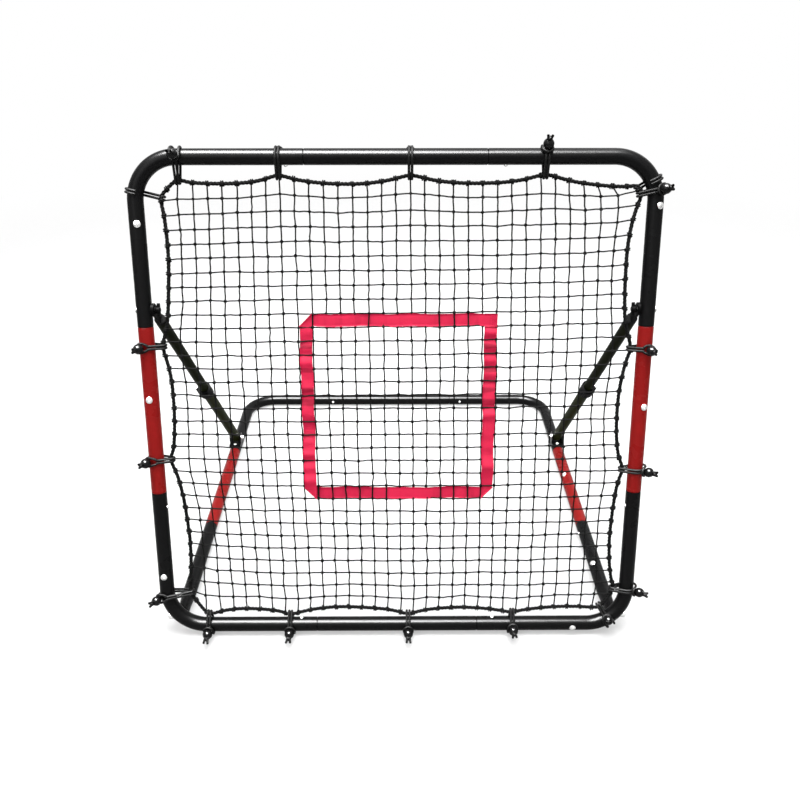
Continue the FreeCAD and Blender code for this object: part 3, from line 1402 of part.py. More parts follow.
def make_net():
    """The border rope and the net inside it, notched where a bungee holds the rope; gives the rope's path."""
    edges = rounded_loop(rope_corners())
    new_feature("net_border_rope", closed_cord(edges, rope_r), FRAME)
    path = Part.Wire(edges)
    outline = Part.Face(path.makeOffset2D(-float(rope_r + S.net_gap)))
    inner = Part.Face(path.makeOffset2D(-float(rope_r + S.net_gap + S.net_edge)))
    sheet = outline.cut([net_gaps(inner)] + net_notches(path))
    half = float(S.net_thickness) / 2
    sheet.translate(BACK * -half)
    net = sheet.Faces[0].extrude(BACK * 2 * half)
    new_feature("net", net, FRAME)
    return path


def make_target():
    """Webbing target on the front of the net, a ring with slanted corners."""
    body = new_body("target_webbing", FRAME.multiply(at(0, 0, S.target_centre)))
    sketch = new_sketch(body, "XZ_Plane", "Ring", S.net_thickness / 2 + S.net_gap)
    slant = S.target_corner
    shrink = S.web_width * (2 - math.sqrt(2))
    for inset, cut in ((Size(0), slant), (S.web_width, slant - shrink)):
        x = S.target_width / 2 - inset
        z = S.target_height / 2 - inset
        corners = [(x, z - cut), (x - cut, z), (cut - x, z), (-x, z - cut)]
        corners += [(-x, cut - z), (cut - x, -z), (x - cut, -z), (x, cut - z)]
        add_outline(sketch, corners)
    add_pad(body, sketch, S.web_thickness)


def main():
    """Build every piece, check it and write it."""
    make_front_tubes()
    make_base_tubes()
    make_arm_fronts()
    make_hinge_plates()
    make_hinge_fittings()
    make_lower_tubes()
    make_upper_tubes()
    make_eyes()
    make_collars()
    make_levers()
    make_lever_pins()
    make_upper_pivots()
    make_brackets()
    make_foot_bolts()
    make_screws()
    make_snap_joints()
    make_target()
    make_bungees(make_net())
    doc.recompute()
    for thing in doc.Objects:
        if "Invalid" in thing.State or "Error" in thing.State:
            raise RuntimeError("%s did not build: %s" % (thing.Label, thing.State))
    for node in NODES:
        if node.Shape.isNull() or not node.Shape.isValid():
            raise RuntimeError("%s has no valid shape" % node.Label)
    for node in NODES:
        node.Shape.exportStep("parts/%s.step" % node.Label)
    print("wrote %d nodes" % len(NODES))


main()
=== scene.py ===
import functools
import json
import math
import random

import bmesh
import bpy
import numpy as np
from bpy.props import FloatProperty, FloatVectorProperty, IntProperty, PointerProperty
from bpy.types import Operator, Panel, PropertyGroup
from mathutils import Matrix, Vector


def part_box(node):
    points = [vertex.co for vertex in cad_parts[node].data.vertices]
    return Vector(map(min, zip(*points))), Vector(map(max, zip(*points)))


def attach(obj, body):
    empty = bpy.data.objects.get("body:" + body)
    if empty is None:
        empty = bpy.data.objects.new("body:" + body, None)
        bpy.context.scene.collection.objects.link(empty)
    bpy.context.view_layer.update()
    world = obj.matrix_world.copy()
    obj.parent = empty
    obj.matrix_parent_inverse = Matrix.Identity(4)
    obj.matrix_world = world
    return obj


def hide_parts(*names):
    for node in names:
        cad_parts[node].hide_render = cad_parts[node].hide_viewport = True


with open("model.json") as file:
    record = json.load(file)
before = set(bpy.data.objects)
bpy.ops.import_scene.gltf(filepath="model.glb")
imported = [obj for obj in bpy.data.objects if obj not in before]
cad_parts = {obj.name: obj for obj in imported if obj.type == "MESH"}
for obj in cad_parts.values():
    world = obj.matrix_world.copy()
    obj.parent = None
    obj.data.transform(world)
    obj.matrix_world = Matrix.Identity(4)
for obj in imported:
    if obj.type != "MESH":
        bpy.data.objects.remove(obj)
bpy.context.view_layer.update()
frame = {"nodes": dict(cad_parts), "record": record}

bl_info = {
    "name": "Pitch back rebounder",
    "version": (1, 0, 0),
    "blender": (4, 5, 0),
    "location": "3D Viewport > Sidebar > Rebounder",
    "description": "Net, border rope, webbing target, ball bungees and finishes of a pitch back rebounder",
    "category": "Object",
}


# Where the leaning front frame is, from the tubes themselves


def middle_of(node):
    """Middle of a tube's box."""
    low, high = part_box(node)
    return (low + high) / 2


LOW_BAR = middle_of("bottom_centre_tube")
RISE = middle_of("top_centre_tube") - LOW_BAR
FRAME_HEIGHT = RISE.length
ACROSS = Vector((1, 0, 0))
UP = RISE.normalized()
BACK = UP.cross(ACROSS)
UPRIGHT = "right_upright_middle_tube"
HALF_WIDTH = middle_of(UPRIGHT).x
TUBE_RADIUS = (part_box(UPRIGHT)[1].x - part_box(UPRIGHT)[0].x) / 2
FLOOR = 0.0


def in_frame(across, up, back=0.0):
    """A point of the front frame, from its lower bar's middle."""
    return LOW_BAR + ACROSS * across + UP * up + BACK * back


# Sizes and colours


def length(name, default, description, **limits):
    """A length that a user may change, in metres."""
    return FloatProperty(name=name, description=description, default=default, unit="LENGTH", precision=4, **limits)


def colour(name, default, description):
    """A colour that a user may change."""
    return FloatVectorProperty(name=name, description=description, default=default, subtype="COLOR", min=0, max=1)


class RebounderPaint(PropertyGroup):
    """Colours of the tubes, fittings and cords."""

    black: colour("Black tubes", (0.004, 0.004, 0.0042), "Gloss paint of the bent tubes")
    red: colour("Red tubes", (0.228, 0.0082, 0.0075), "Gloss paint of the straight red tubes")
    strut: colour("Struts", (0.0118, 0.0146, 0.0034), "Paint of the lower strut tubes")
    steel: colour("Hardware", (0.68, 0.68, 0.67), "Bright zinc of the screws, bolts and snap buttons")
    plastic: colour("Plastic", (0.004, 0.004, 0.0042), "Collars, levers, eyes and knobs")
    cord: colour("Cords", (0.0035, 0.0035, 0.0034), "Net, border rope and bungee cords")
    webbing: colour("Webbing", (0.59, 0.015, 0.06), "Woven target")


class RebounderNet(PropertyGroup):
    """Sizes of the net and its border rope."""

    columns: IntProperty(name="Columns", description="Meshes across", default=32, min=4)
    rows: IntProperty(name="Rows", description="Meshes upwards", default=32, min=4)
    twine: length("Twine", 0.003, "Diameter of the net's twine")
    knot: length("Knot", 0.0072, "Width of a knot")
    rope: length("Border rope", 0.0078, "Diameter of the border rope")
    lay: length("Rope lay", 0.021, "Length of one turn of the border rope's strands")
    sag: length("Sag", 0.005, "How far the net's middle hangs back")
    shift: length("Shift", 0.0026, "How far the middle columns stand to the right")
    drop: length("Drop", 0.0018, "How far the middle rows hang down")


class RebounderTarget(PropertyGroup):
    """Sizes of the webbing target and the meshes that it runs through."""

    width: length("Width", 0.0245, "Width of the webbing")
    thickness: length("Thickness", 0.0011, "Thickness of the webbing")
    left: IntProperty(name="Left column", description="Column of meshes of the left strap", default=9)
    right: IntProperty(name="Right column", description="Column of meshes of the right strap", default=22)
    low: IntProperty(name="Lower row", description="Row of meshes of the lower strap", default=9)
    high: IntProperty(name="Upper row", description="Row of meshes of the upper strap", default=22)


class RebounderBungees(PropertyGroup):
    """Sizes of the ball bungees."""

    cord: length("Cord", 0.0049, "Diameter of the elastic cord")
    spacing: length("Spacing", 0.0058, "Between the two cords that come out of a ball")
    spread: length("Spread", 0.0186, "Width of the bight that catches a ball's neck")
    gap: length("Gap", 0.0002, "Between a cord and what it goes round")
    ball: length("Ball", 0.020, "Diameter of a ball")
    bend: length("Bend", 0.08, "Radius of the bends of the tubes that the bungees go round")


class RebounderStage(PropertyGroup):
    """Camera and lamps."""

    focal: FloatProperty(name="Focal length", description="Focal length in pixels of an 800 pixel image", default=792)
    away: length("Distance", 1.242, "Camera in front of the lower bar")
    height: length("Height", 1.2685, "Camera above the floor")
    pitch: FloatProperty(name="Pitch", description="Degrees that the camera looks down", default=29.42)
    yaw: FloatProperty(name="Yaw", description="Degrees that the camera looks to the right", default=0.3)
    fill: FloatProperty(name="Fill", description="Strength of the surrounding light", default=0.62)


GROUPS = {
    "paint": RebounderPaint,
    "net": RebounderNet,
    "target": RebounderTarget,
    "bungees": RebounderBungees,
    "stage": RebounderStage,
}


def settings(group):
    """The scene's own values of a group."""
    return getattr(bpy.context.scene, "rebounder_" + group)


# Node trees written as Python expressions


class Wire:
    """An output of a node, which takes arithmetic with numbers and other outputs."""

    def __init__(self, tree, socket):
        self.tree = tree
        self.socket = socket

    def math(self, operation, *others):
        """This value through a Math node."""
        values = dict(enumerate((self, *others)))
        return self.tree.add("ShaderNodeMath", values, operation=operation)["Value"]

    def __add__(self, other):
        return self.math("ADD", other)

    def __sub__(self, other):
        return self.math("SUBTRACT", other)

    def __mul__(self, other):
        return self.math("MULTIPLY", other)

    def __radd__(self, other):
        return self.math("ADD", other)

    def __rmul__(self, other):
        return self.math("MULTIPLY", other)

    def __rsub__(self, other):
        return self.math("MULTIPLY", -1).math("ADD", other)

    def sin(self):
        """Sine of this value."""
        return self.math("SINE")

    def above(self, level, width):
        """0 below a level, rising to 1 over a width."""
        sizes = {"Value": self, "From Min": level, "From Max": level + width}
        return self.tree.add("ShaderNodeMapRange", sizes, interpolation_type="SMOOTHSTEP")["Result"]


def chosen(sockets, key):
    """A socket by its number, or the one in use with a name."""
    if isinstance(key, int):
        return sockets[key]
    return next(socket for socket in sockets if socket.enabled and socket.name == key)


class Node:
    """A node whose outputs are taken by name or number."""

    def __init__(self, tree, node):
        self.tree = tree
        self.node = node

    def __getitem__(self, key):
        return Wire(self.tree, chosen(self.node.outputs, key))


class Tree:
    """A node tree and the one way in which nodes are added to it."""

    def __init__(self, tree):
        self.tree = tree

    def add(self, kind, values=None, **options):
        """Add a node with its options, then the values or links of its sockets."""
        node = self.tree.nodes.new(kind)
        for name, option in options.items():
            setattr(node, name, option)
        for key, value in (values or {}).items():
            self.put(chosen(node.inputs, key), value)
        return Node(self, node)

    def put(self, socket, value):
        """Give a socket a value or a link."""
        if isinstance(value, Wire):
            self.tree.links.new(value.socket, socket)
        else:
            socket.default_value = value

    def vector(self, x, y, z):
        """Three values as a vector."""
        return self.add("ShaderNodeCombineXYZ", {"X": x, "Y": y, "Z": z})["Vector"]

    def vector_math(self, operation, *values):
        """A Vector Math node's vector."""
        return self.add("ShaderNodeVectorMath", dict(enumerate(values)), operation=operation)["Vector"]

    def scaled(self, vector, factor):
        """A vector made longer."""
        return self.add("ShaderNodeVectorMath", {0: vector, "Scale": factor}, operation="SCALE")["Vector"]

    def stored(self, geometry, name, value, kind="FLOAT", domain="POINT"):
        """A geometry with a named attribute."""
        values = {"Geometry": geometry, "Name": name, "Value": value}
        return self.add("GeometryNodeStoreNamedAttribute", values, data_type=kind, domain=domain)["Geometry"]

    def attribute(self, name, kind="FLOAT"):
        """A named attribute's value."""
        return self.add("GeometryNodeInputNamedAttribute", {"Name": name}, data_type=kind)["Attribute"]

    def random(self, low, high, seed):
        """A random number for each point."""
        values = {"Min": low, "Max": high, "Seed": seed}
        return self.add("FunctionNodeRandomValue", values, data_type="FLOAT")["Value"]


class Finish(Tree):
    """A material with a Principled shader."""

    def __init__(self, name):
        self.material = bpy.data.materials.new(name)
        self.material.use_nodes = True
        super().__init__(self.material.node_tree)
        self.shader = self.tree.nodes["Principled BSDF"]
        self.place = self.add("ShaderNodeTexCoord")["Object"]

    def noise(self, scale, detail=2.0, rough=0.5, place=None):
        """Noise from 0 to 1, with so many lumps in a metre."""
        values = {"Vector": place or self.place, "Scale": scale, "Detail": detail, "Roughness": rough}
        return self.add("ShaderNodeTexNoise", values)["Fac"]

    def uv(self):
        """The two parts of the piece's own UV map."""
        parts = self.add("ShaderNodeSeparateXYZ", {0: self.add("ShaderNodeUVMap")["UV"]})
        return parts["X"], parts["Y"]

    def between(self, factor, rgb, dark, light):
        """A colour between a darker and a lighter share of one."""
        values = {"Factor": factor, "A": (*times(rgb, dark), 1), "B": (*times(rgb, light), 1)}
        return self.add("ShaderNodeMix", values, data_type="RGBA")["Result"]

    def paint(self, *tones):
        """Base colour between two shares of a colour."""
        self.surface(Base_Color=self.between(*tones))

    def bump(self, height, distance, strength):
        """Bump that feeds Normal, from a height of 0 to 1 that stands for a distance in metres."""
        values = {"Height": height, "Distance": distance, "Strength": strength}
        self.surface(Normal=self.add("ShaderNodeBump", values)["Normal"])

    def surface(self, **inputs):
        """Values or links of the shader's sockets, whose names take _ for a space."""
        for name, value in inputs.items():
            self.put(self.shader.inputs[name.replace("_", " ")], value)


def times(rgb, factor):
    """A colour made darker or lighter."""
    return tuple(min(1.0, part * factor) for part in rgb)


def gloss_paint(name, rgb, roughness=0.25, level=0.06):
    """Sprayed gloss paint on steel: faint orange peel, slow changes of colour, rubbed patches and specks."""
    finish = Finish(name)
    broad = finish.noise(9, 3, 0.6)
    patches = finish.noise(38, 4, 0.62).above(0.52, 0.2)
    peel = finish.noise(620, 1.5, 0.4)
    specks = finish.noise(2300, 1, 0.5).above(0.68, 0.08)
    shade = broad * 0.7 + patches * 0.3
    finish.paint(shade, rgb, 0.84, 1.22)
    finish.surface(Roughness=roughness + broad * 0.05 + patches * 0.04 + specks * 0.03)
    finish.surface(IOR=1.5, Specular_IOR_Level=level)
    finish.bump(peel * 0.85 + specks * 0.15, 0.000025, 0.35)
    return finish.material


def zinc(name, rgb):
    """Bright zinc plating with a fine grain and slight tarnish."""
    finish = Finish(name)
    tarnish = finish.noise(120, 3, 0.6)
    grain = finish.noise(3200, 2, 0.6)
    finish.paint(tarnish, rgb, 0.86, 1.08)
    finish.surface(Metallic=1.0, Roughness=0.24 + tarnish * 0.14 + grain * 0.05)
    finish.bump(grain, 0.00003, 0.5)
    return finish.material


def moulded(name, rgb, roughness, grain_height, level):
    """Moulded plastic with a fine eroded grain."""
    finish = Finish(name)
    grain = finish.noise(1500, 3, 0.65)
    rubbed = finish.noise(90, 3, 0.6).above(0.5, 0.22)
    finish.paint(rubbed, rgb, 0.85, 1.35)
    finish.surface(Roughness=roughness + grain * 0.1 - rubbed * 0.06, IOR=1.47, Specular_IOR_Level=level)
    finish.bump(grain, grain_height, 0.6)
    return finish.material


def braided(name, rgb, yarns=3, pitch=0.0034):
    """Braided sheath: two families of yarns that wind round the cord both ways."""
    finish = Finish(name)
    around, along = finish.uv()
    turn = around * (math.tau * yarns)
    run = along * (math.tau / pitch)
    weave = (turn + run).sin() * (turn - run).sin()
    fibre = finish.noise(4200, 2, 0.6)
    height = weave * 0.38 + 0.5 + fibre * 0.12
    # Base colour follows the bump: painted shade in the grooves between the yarns, lighter on their crowns, with
    # random fibre tone
    finish.paint(height, rgb, 0.4, 1.9)
    finish.surface(Roughness=0.4 + fibre * 0.16, Specular_IOR_Level=0.07, Sheen_Weight=0.01)
    finish.bump(height, 0.00042, 0.9)
    return finish.material


def laid(name, rgb, yarns, pitch, depth):
    """Twisted strand: yarns that wind one way, with stray fibres."""
    finish = Finish(name)
    around, along = finish.uv()
    wind = (around * (math.tau * yarns) + along * (math.tau / pitch)).sin()
    fibre = finish.noise(3800, 3, 0.65)
    height = wind * 0.34 + 0.45 + fibre * 0.25
    # Base colour follows the bump: painted shade in the grooves between the yarns, lighter on their crowns, with
    # random fibre tone
    finish.paint(height, rgb, 0.35, 2.1)
    finish.surface(Roughness=0.55 + fibre * 0.2, Specular_IOR_Level=0.02, Sheen_Weight=0.01)
    finish.bump(height, depth, 0.9)
    return finish.material


def woven(name, rgb, width, pitch=(0.0017, 0.0021), edge_width=0.0018):
    """Flat polyester webbing: rows of small ribs in a brick pattern, with a firmer edge, and painted shade in its
    grooves and creases.
    """
    finish = Finish(name)
    along, across = finish.uv()
    rib, warp = ((way * (math.tau / step)).sin() for way, step in zip((along, across), pitch))
    weave = rib * warp
    edge = across.math("ABSOLUTE").above(width / 2 - edge_width, 0.0007)
    fade = finish.noise(26, 3, 0.6)
    fluff = finish.noise(2600, 3, 0.7)
    height = weave * (0.34 - edge * 0.2) + 0.45 + fluff * 0.2 + edge * 0.15
    # Crosswise bands of painted shade where the strap creases and folds
    crease_shade = finish.noise(34, 2, 0.55, finish.vector(along, across * 0.16, 0.3)).above(0.55, 0.09)
    # The upright straps lie farther along the map: they hang looser, so their painted crease shade is darker
    crease_shade_depth = along.above(0.22, 0.04) * 0.75 + 0.25
    # Base colour: painted shade low in the weave and lighter where it stands high, random fade, and the painted
    # crease shade
    shade = height * 0.32 + fade * 0.26 + (1 - crease_shade * crease_shade_depth) * 0.42
    finish.paint(shade, rgb, 0.3, 1.24)
    finish.surface(Roughness=0.62 + fluff * 0.16, Specular_IOR_Level=0.03, Sheen_Weight=0.01)
    finish.surface(Sheen_Tint=(1, 0.5, 0.58, 1))
    finish.bump(height, 0.00028, 0.9)
    return finish.material


# Pieces


def link(obj):
    """Put an object in the scene."""
    bpy.context.scene.collection.objects.link(obj)
    return obj


def new_object(name, verts, edges=(), faces=()):
    """An object at the origin with its place in its mesh."""
    mesh = bpy.data.meshes.new(name)
    mesh.from_pydata([tuple(vert) for vert in verts], list(edges), list(faces))
    mesh.update()
    return link(bpy.data.objects.new(name, mesh))


def steps(start, end, count):
    """Even values from one to another, both included."""
    return [start + (end - start) * step / count for step in range(count + 1)]


def polylines(name, lines, closed=False):
    """Chains of points joined by edges, one after the other."""
    verts, edges = [], []
    for line in lines:
        first = len(verts)
        verts.extend(line)
        count = len(line)
        edges.extend((first + step, first + step + 1) for step in range(count - 1))
        if closed:
            edges.append((first + count - 1, first))
    return new_object(name, verts, edges)


def node_group(name, **sockets):
    """A geometry node tree with a geometry in and out and named inputs: the tree and its inputs."""
    group = bpy.data.node_groups.new(name, "GeometryNodeTree")
    group.interface.new_socket("Geometry", in_out="INPUT", socket_type="NodeSocketGeometry")
    for socket, kind in sockets.items():
        group.interface.new_socket(socket, in_out="INPUT", socket_type="NodeSocket" + kind)
    group.interface.new_socket("Geometry", in_out="OUTPUT", socket_type="NodeSocketGeometry")
    tree = Tree(group)
    return tree, tree.add("NodeGroupInput")


def finish_group(tree, geometry, material):
    """Realize, set the material and leave the tree."""
    whole = tree.add("GeometryNodeRealizeInstances", {"Geometry": geometry})["Geometry"]
    painted = tree.add("GeometryNodeSetMaterial", {"Geometry": whole, "Material": material})["Geometry"]
    tree.add("NodeGroupOutput", {"Geometry": painted})
    return tree.tree


def grown(name, source, group, values):
    """The plain mesh that a node tree makes of a source, which is deleted."""
    modifier = source.modifiers.new(group.name, "NODES")
    modifier.node_group = group
    for item in group.interface.items_tree:
        if item.in_out == "INPUT" and item.name in values:
            modifier[item.identifier] = values[item.name]
    evaluated = source.evaluated_get(bpy.context.evaluated_depsgraph_get())
    mesh = bpy.data.meshes.new_from_object(evaluated)
    bpy.data.objects.remove(source)
    mesh.name = name
    return link(bpy.data.objects.new(name, mesh))


# Points closer than this become one
MERGE = 1e-5


def swept(tree, curve, radius, sides):
    """Round cord along a curve, with a UV map: once round, and metres along."""
    run = tree.add("GeometryNodeSplineParameter")
    curve = tree.stored(curve, "along", run["Length"])
    values = {"Resolution": sides, "Radius": radius, "Start Angle": 0.0, "Sweep Angle": math.tau}
    ring = tree.add("GeometryNodeCurveArc", values, mode="RADIUS")["Curve"]
    ring = tree.stored(ring, "around", run["Factor"])
    values = {"Curve": curve, "Profile Curve": ring, "Fill Caps": True}
    tube = tree.add("GeometryNodeCurveToMesh", values)["Mesh"]
    place = tree.vector(tree.attribute("around"), tree.attribute("along"), 0)
    tube = tree.stored(tube, "UVMap", place, "FLOAT2", "CORNER")
    tube = tree.add("GeometryNodeMergeByDistance", {"Geometry": tube, "Distance": MERGE})["Geometry"]
    return tree.add("GeometryNodeSetShadeSmooth", {0: tube})[0]


def cord_group(name, step=None):
    """Tree that turns chains of points into round cords, bent smoothly through the points if a step is given."""
    tree, given = node_group(name, Radius="Float", Sides="Int", Material="Material")
    curve = tree.add("GeometryNodeMeshToCurve", {"Mesh": given["Geometry"]})["Curve"]
    if step:
        curve = tree.add("GeometryNodeCurveSplineType", {"Curve": curve}, spline_type="CATMULL_ROM")["Curve"]
        curve = tree.add("GeometryNodeResampleCurve", {"Curve": curve, "Length": step}, mode="LENGTH")["Curve"]
    tube = swept(tree, curve, given["Radius"], given["Sides"])
    return finish_group(tree, tube, given["Material"])


def corded(name, lines, radius, sides, material=None, closed=False, step=None):
    """Chains of points as round cords in one plain mesh."""
    values = {"Radius": radius, "Sides": sides}
    if material:
        values["Material"] = material
    return grown(name, polylines(name + "_lines", lines, closed), cord_group(name + " tree", step), values)


# Strands of the border rope
STRANDS = 3


def rope_group(name):
    """Tree that twists three strands round a closed chain of points."""
    counts = {"Points": "Int", "Turns": "Int", "Sides": "Int"}
    tree, given = node_group(name, **counts, Offset="Float", Radius="Float", Plane="Vector", Material="Material")
    curve = tree.add("GeometryNodeMeshToCurve", {"Mesh": given["Geometry"]})["Curve"]
    curve = tree.add("GeometryNodeResampleCurve", {"Curve": curve, "Count": given["Points"]})["Curve"]
    tangent = tree.add("GeometryNodeInputTangent")["Tangent"]
    side = tree.vector_math("CROSS_PRODUCT", tangent, given["Plane"])
    factor = tree.add("GeometryNodeSplineParameter")["Factor"]
    joined = tree.add("GeometryNodeJoinGeometry")
    for strand in range(STRANDS):
        angle = factor * given["Turns"] * math.tau + strand * math.tau / STRANDS
        out_of_plane = tree.scaled(given["Plane"], angle.math("COSINE") * given["Offset"])
        in_plane = tree.scaled(side, angle.sin() * given["Offset"])
        offset = tree.vector_math("ADD", out_of_plane, in_plane)
        moved = tree.add("GeometryNodeSetPosition", {"Geometry": curve, "Offset": offset})["Geometry"]
        tube = swept(tree, moved, given["Radius"], given["Sides"])
        tree.put(joined.node.inputs[0], tube)
    return finish_group(tree, joined["Geometry"], given["Material"])


def scatter_group(name):
    """Tree that puts a copy of an object on each point, turned along the point's own direction."""
    tree, given = node_group(name, Object="Object", Scatter="Float", Turn="Float", Seed="Int", Material="Material")
    aim_values = {"Vector": tree.attribute("way", "FLOAT_VECTOR")}
    aim = tree.add("FunctionNodeAlignRotationToVector", aim_values, axis="Z")["Rotation"]
    angle = tree.random(given["Turn"] * -1, given["Turn"], given["Seed"])
    spin = tree.add("FunctionNodeAxisAngleToRotation", {"Axis": (0, 0, 1), "Angle": angle})["Rotation"]
    turn_values = {"Rotation": aim, "Rotate By": spin}
    turn = tree.add("FunctionNodeRotateRotation", turn_values, rotation_space="LOCAL")["Rotation"]
    size = tree.random(1 - given["Scatter"], 1 + given["Scatter"], given["Seed"] + 1)
    shape = tree.add("GeometryNodeObjectInfo", {"Object": given["Object"]})["Geometry"]
    points = tree.add("GeometryNodeMeshToPoints", {"Mesh": given["Geometry"]})["Points"]
    values = {"Points": points, "Instance": shape, "Rotation": turn, "Scale": size}
    placed = tree.add("GeometryNodeInstanceOnPoints", values)["Instances"]
    return finish_group(tree, placed, given["Material"])


def scattered(name, shape, spots, ways, material, **values):
    """Copies of a shape on spots as one plain mesh; the shape is deleted."""
    source = new_object(name + "_spots", spots)
    attribute = source.data.attributes.new("way", "FLOAT_VECTOR", "POINT")
    attribute.data.foreach_set("vector", np.array([tuple(way) for way in ways], np.float32).ravel())
    values.update(Object=shape, Material=material)
    made = grown(name, source, scatter_group(name + " tree"), values)
    bpy.data.objects.remove(shape)
    return made


def ride(piece, body, slot, *nodes):
    """Give a finished piece its body and hide the nodes that it stands for; the slot is not used."""
    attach(piece, body)
    if nodes:
        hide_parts(*nodes)


# The border rope's route and the bungees that hold it

# A tie is (tube, place, gap in mm between the tube and the rope's corner, turn of its ball, side of its pair).
# The place is a share of half a bar's straight length from its middle, or of the frame's height up an upright,
# or in degrees round a corner's bend from straight sideways. A ball turns in degrees from straight outward to the
# front. The pair of cords that comes out of a ball crosses the tube's front (-1) or back (1). With a turn of None
# there's no ball.
TIES = (
    ("top", -0.996, 26, 82, -1),
    ("top", -0.536, 18, -84, -1),
    ("top", 0.067, 18, -84, -1),
    ("top", 0.684, 17, 45, -1),
    ("top_right_corner", 27, 12, None, -1),
    ("top_right_corner", 14, 12, 66, -1),
    ("top_left_corner", 12.5, 32, None, -1),
    ("left", 0.63, 15, 73, 1),
    ("left", 0.388, 14, 62, 1),
    ("bottom_left_corner", 7, 34, 55, 1),
    ("right", 0.624, 12, 80, 1),
    ("right", 0.363, 11, 43, -1),
    ("right", 0.085, 13, 42, -1),
    ("bottom_right_corner", 57.4, 17, 109, -1),
    ("bottom", -0.985, 9, 75, -1),
    ("bottom", -0.56, 8, 75, -1),
    ("bottom", 0.059, 8, 75, -1),
    ("bottom", 0.605, 11, 87, -1),
)
# Slack of the rope between the ties: places along each tube, and gaps in mm
ROPE_SLACK = {
    "top": (
        (-0.93, 32), (-0.74, 33), (-0.63, 28.5), (-0.42, 29.5), (-0.22, 35), (-0.06, 30),
        (0.21, 30.5), (0.39, 33.5), (0.565, 29), (0.82, 31), (0.96, 37.5), (1.06, 39.5),
    ),
    "right": (
        (0.913, 16.5), (0.89, 23), (0.86, 28.5), (0.821, 32), (0.758, 31.5), (0.705, 29), (0.68, 26.5),
        (0.605, 17), (0.579, 23), (0.529, 29.5), (0.469, 30), (0.418, 26), (0.39, 20),
        (0.345, 15.5), (0.319, 21), (0.272, 25), (0.209, 28), (0.157, 25.5), (0.115, 20),
    ),
    "bottom": (
        (1.027, 21), (0.963, 23.5), (0.854, 24), (0.74, 20.5), (0.65, 15),
        (0.5, 18), (0.4, 22), (0.3, 23), (0.19, 19.5), (0.12, 14.5),
        (-0.01, 15), (-0.06, 19.5), (-0.17, 23), (-0.26, 25.5), (-0.38, 23.5), (-0.47, 17),
        (-0.62, 16), (-0.72, 21), (-0.83, 22), (-0.92, 16.5),
    ),
    "left": (
        (0.152, 40), (0.208, 41), (0.246, 38.5), (0.292, 35), (0.327, 30), (0.355, 24),
        (0.408, 20.5), (0.442, 25), (0.486, 28), (0.546, 28.5), (0.588, 24),
        (0.669, 26), (0.705, 31), (0.751, 35), (0.805, 39), (0.853, 38.5), (0.89, 36.5),
    ),
}
# How far along the tube, both ways, the rope stays at a tie's own gap
TIE_HOLD = 0.005
# How far inside the tubes' axes the rope can be
FARTHEST = 0.2


class Tie:
    """Where a bungee goes round a tube: on its axis, with the ways outward and along the tube."""

    def __init__(self, tube, share, gap):
        bend = settings("bungees").bend
        straight = HALF_WIDTH - bend
        if tube.endswith("corner"):
            angle = math.radians(share)
            side = 1 if "right" in tube else -1
            rise, centre = (1, FRAME_HEIGHT - bend) if "top" in tube else (-1, bend)
            out = (side * math.cos(angle), rise * math.sin(angle))
            spot = (side * straight + out[0] * bend, centre + out[1] * bend)
        else:
            out = {"top": (0, 1), "bottom": (0, -1), "left": (-1, 0), "right": (1, 0)}[tube]
            spot = {
                "top": (share * straight, FRAME_HEIGHT),
                "bottom": (share * straight, 0),
                "left": (-HALF_WIDTH, share * FRAME_HEIGHT),
                "right": (HALF_WIDTH, share * FRAME_HEIGHT),
            }[tube]
        inset = TUBE_RADIUS + gap / 1000
        self.spot = in_frame(*spot)
        self.outward = ACROSS * out[0] + UP * out[1]
        self.along = self.outward.cross(BACK)
        self.flat = (spot[0] - out[0] * inset, spot[1] - out[1] * inset)
        aside = (self.along.dot(ACROSS) * TIE_HOLD, self.along.dot(UP) * TIE_HOLD)
        self.ends = [(self.flat[0] + way * aside[0], self.flat[1] + way * aside[1]) for way in (-1, 1)]

    def point(self, out, back, along):
        """A point in the tie's own axes."""
        return self.spot + self.outward * out + BACK * back + self.along * along

    def around(self, far, angle, along, inset=0.0):
        """A point at an angle round the tube, or round the rope that runs so far inside the tube."""
        return self.point(far * math.cos(angle) - inset, far * math.sin(angle), along)

    def beside(self, angle, far, aside, along):
        """A point beside the line that leaves the tube at an angle."""
        out, back = math.cos(angle), math.sin(angle)
        return self.point(out * far - back * aside, back * far + out * aside, along)


def rope_route():
    """The border rope's corner points, in order round the frame, in the frame's own two axes."""
    corners = [spot for entry in TIES for spot in Tie(*entry[:3]).ends]
    corners += [Tie(tube, *entry).flat for tube, entries in ROPE_SLACK.items() for entry in entries]
    return sorted(corners, key=lambda spot: math.atan2(spot[1] - FRAME_HEIGHT / 2, spot[0]))


@functools.lru_cache(maxsize=None)
def rope_line():
    """Points along the border rope's smooth closed line, in the frame's own two axes."""
    data = bpy.data.curves.new("rope_line", "CURVE")
    data.dimensions = "3D"
    data.resolution_u = 10
    spline = data.splines.new("NURBS")
    route = rope_route()
    spline.points.add(len(route) - 1)
    for point, spot in zip(spline.points, route):
        point.co = (*spot, 0, 1)
    spline.use_cyclic_u = True
    spline.order_u = 3
    obj = link(bpy.data.objects.new("rope_line", data))
    mesh = bpy.data.meshes.new_from_object(obj.evaluated_get(bpy.context.evaluated_depsgraph_get()))
    spots = [(vert.co.x, vert.co.y) for vert in mesh.vertices]
    bpy.data.objects.remove(obj)
    bpy.data.meshes.remove(mesh)
    return np.array(spots)


@functools.lru_cache(maxsize=None)
def rope_lengths():
    """Lengths along the border rope to each point of its line, and once round."""
    line = rope_line()
    pieces = np.linalg.norm(np.roll(line, -1, axis=0) - line, axis=1)
    return np.concatenate([[0], np.cumsum(pieces)])


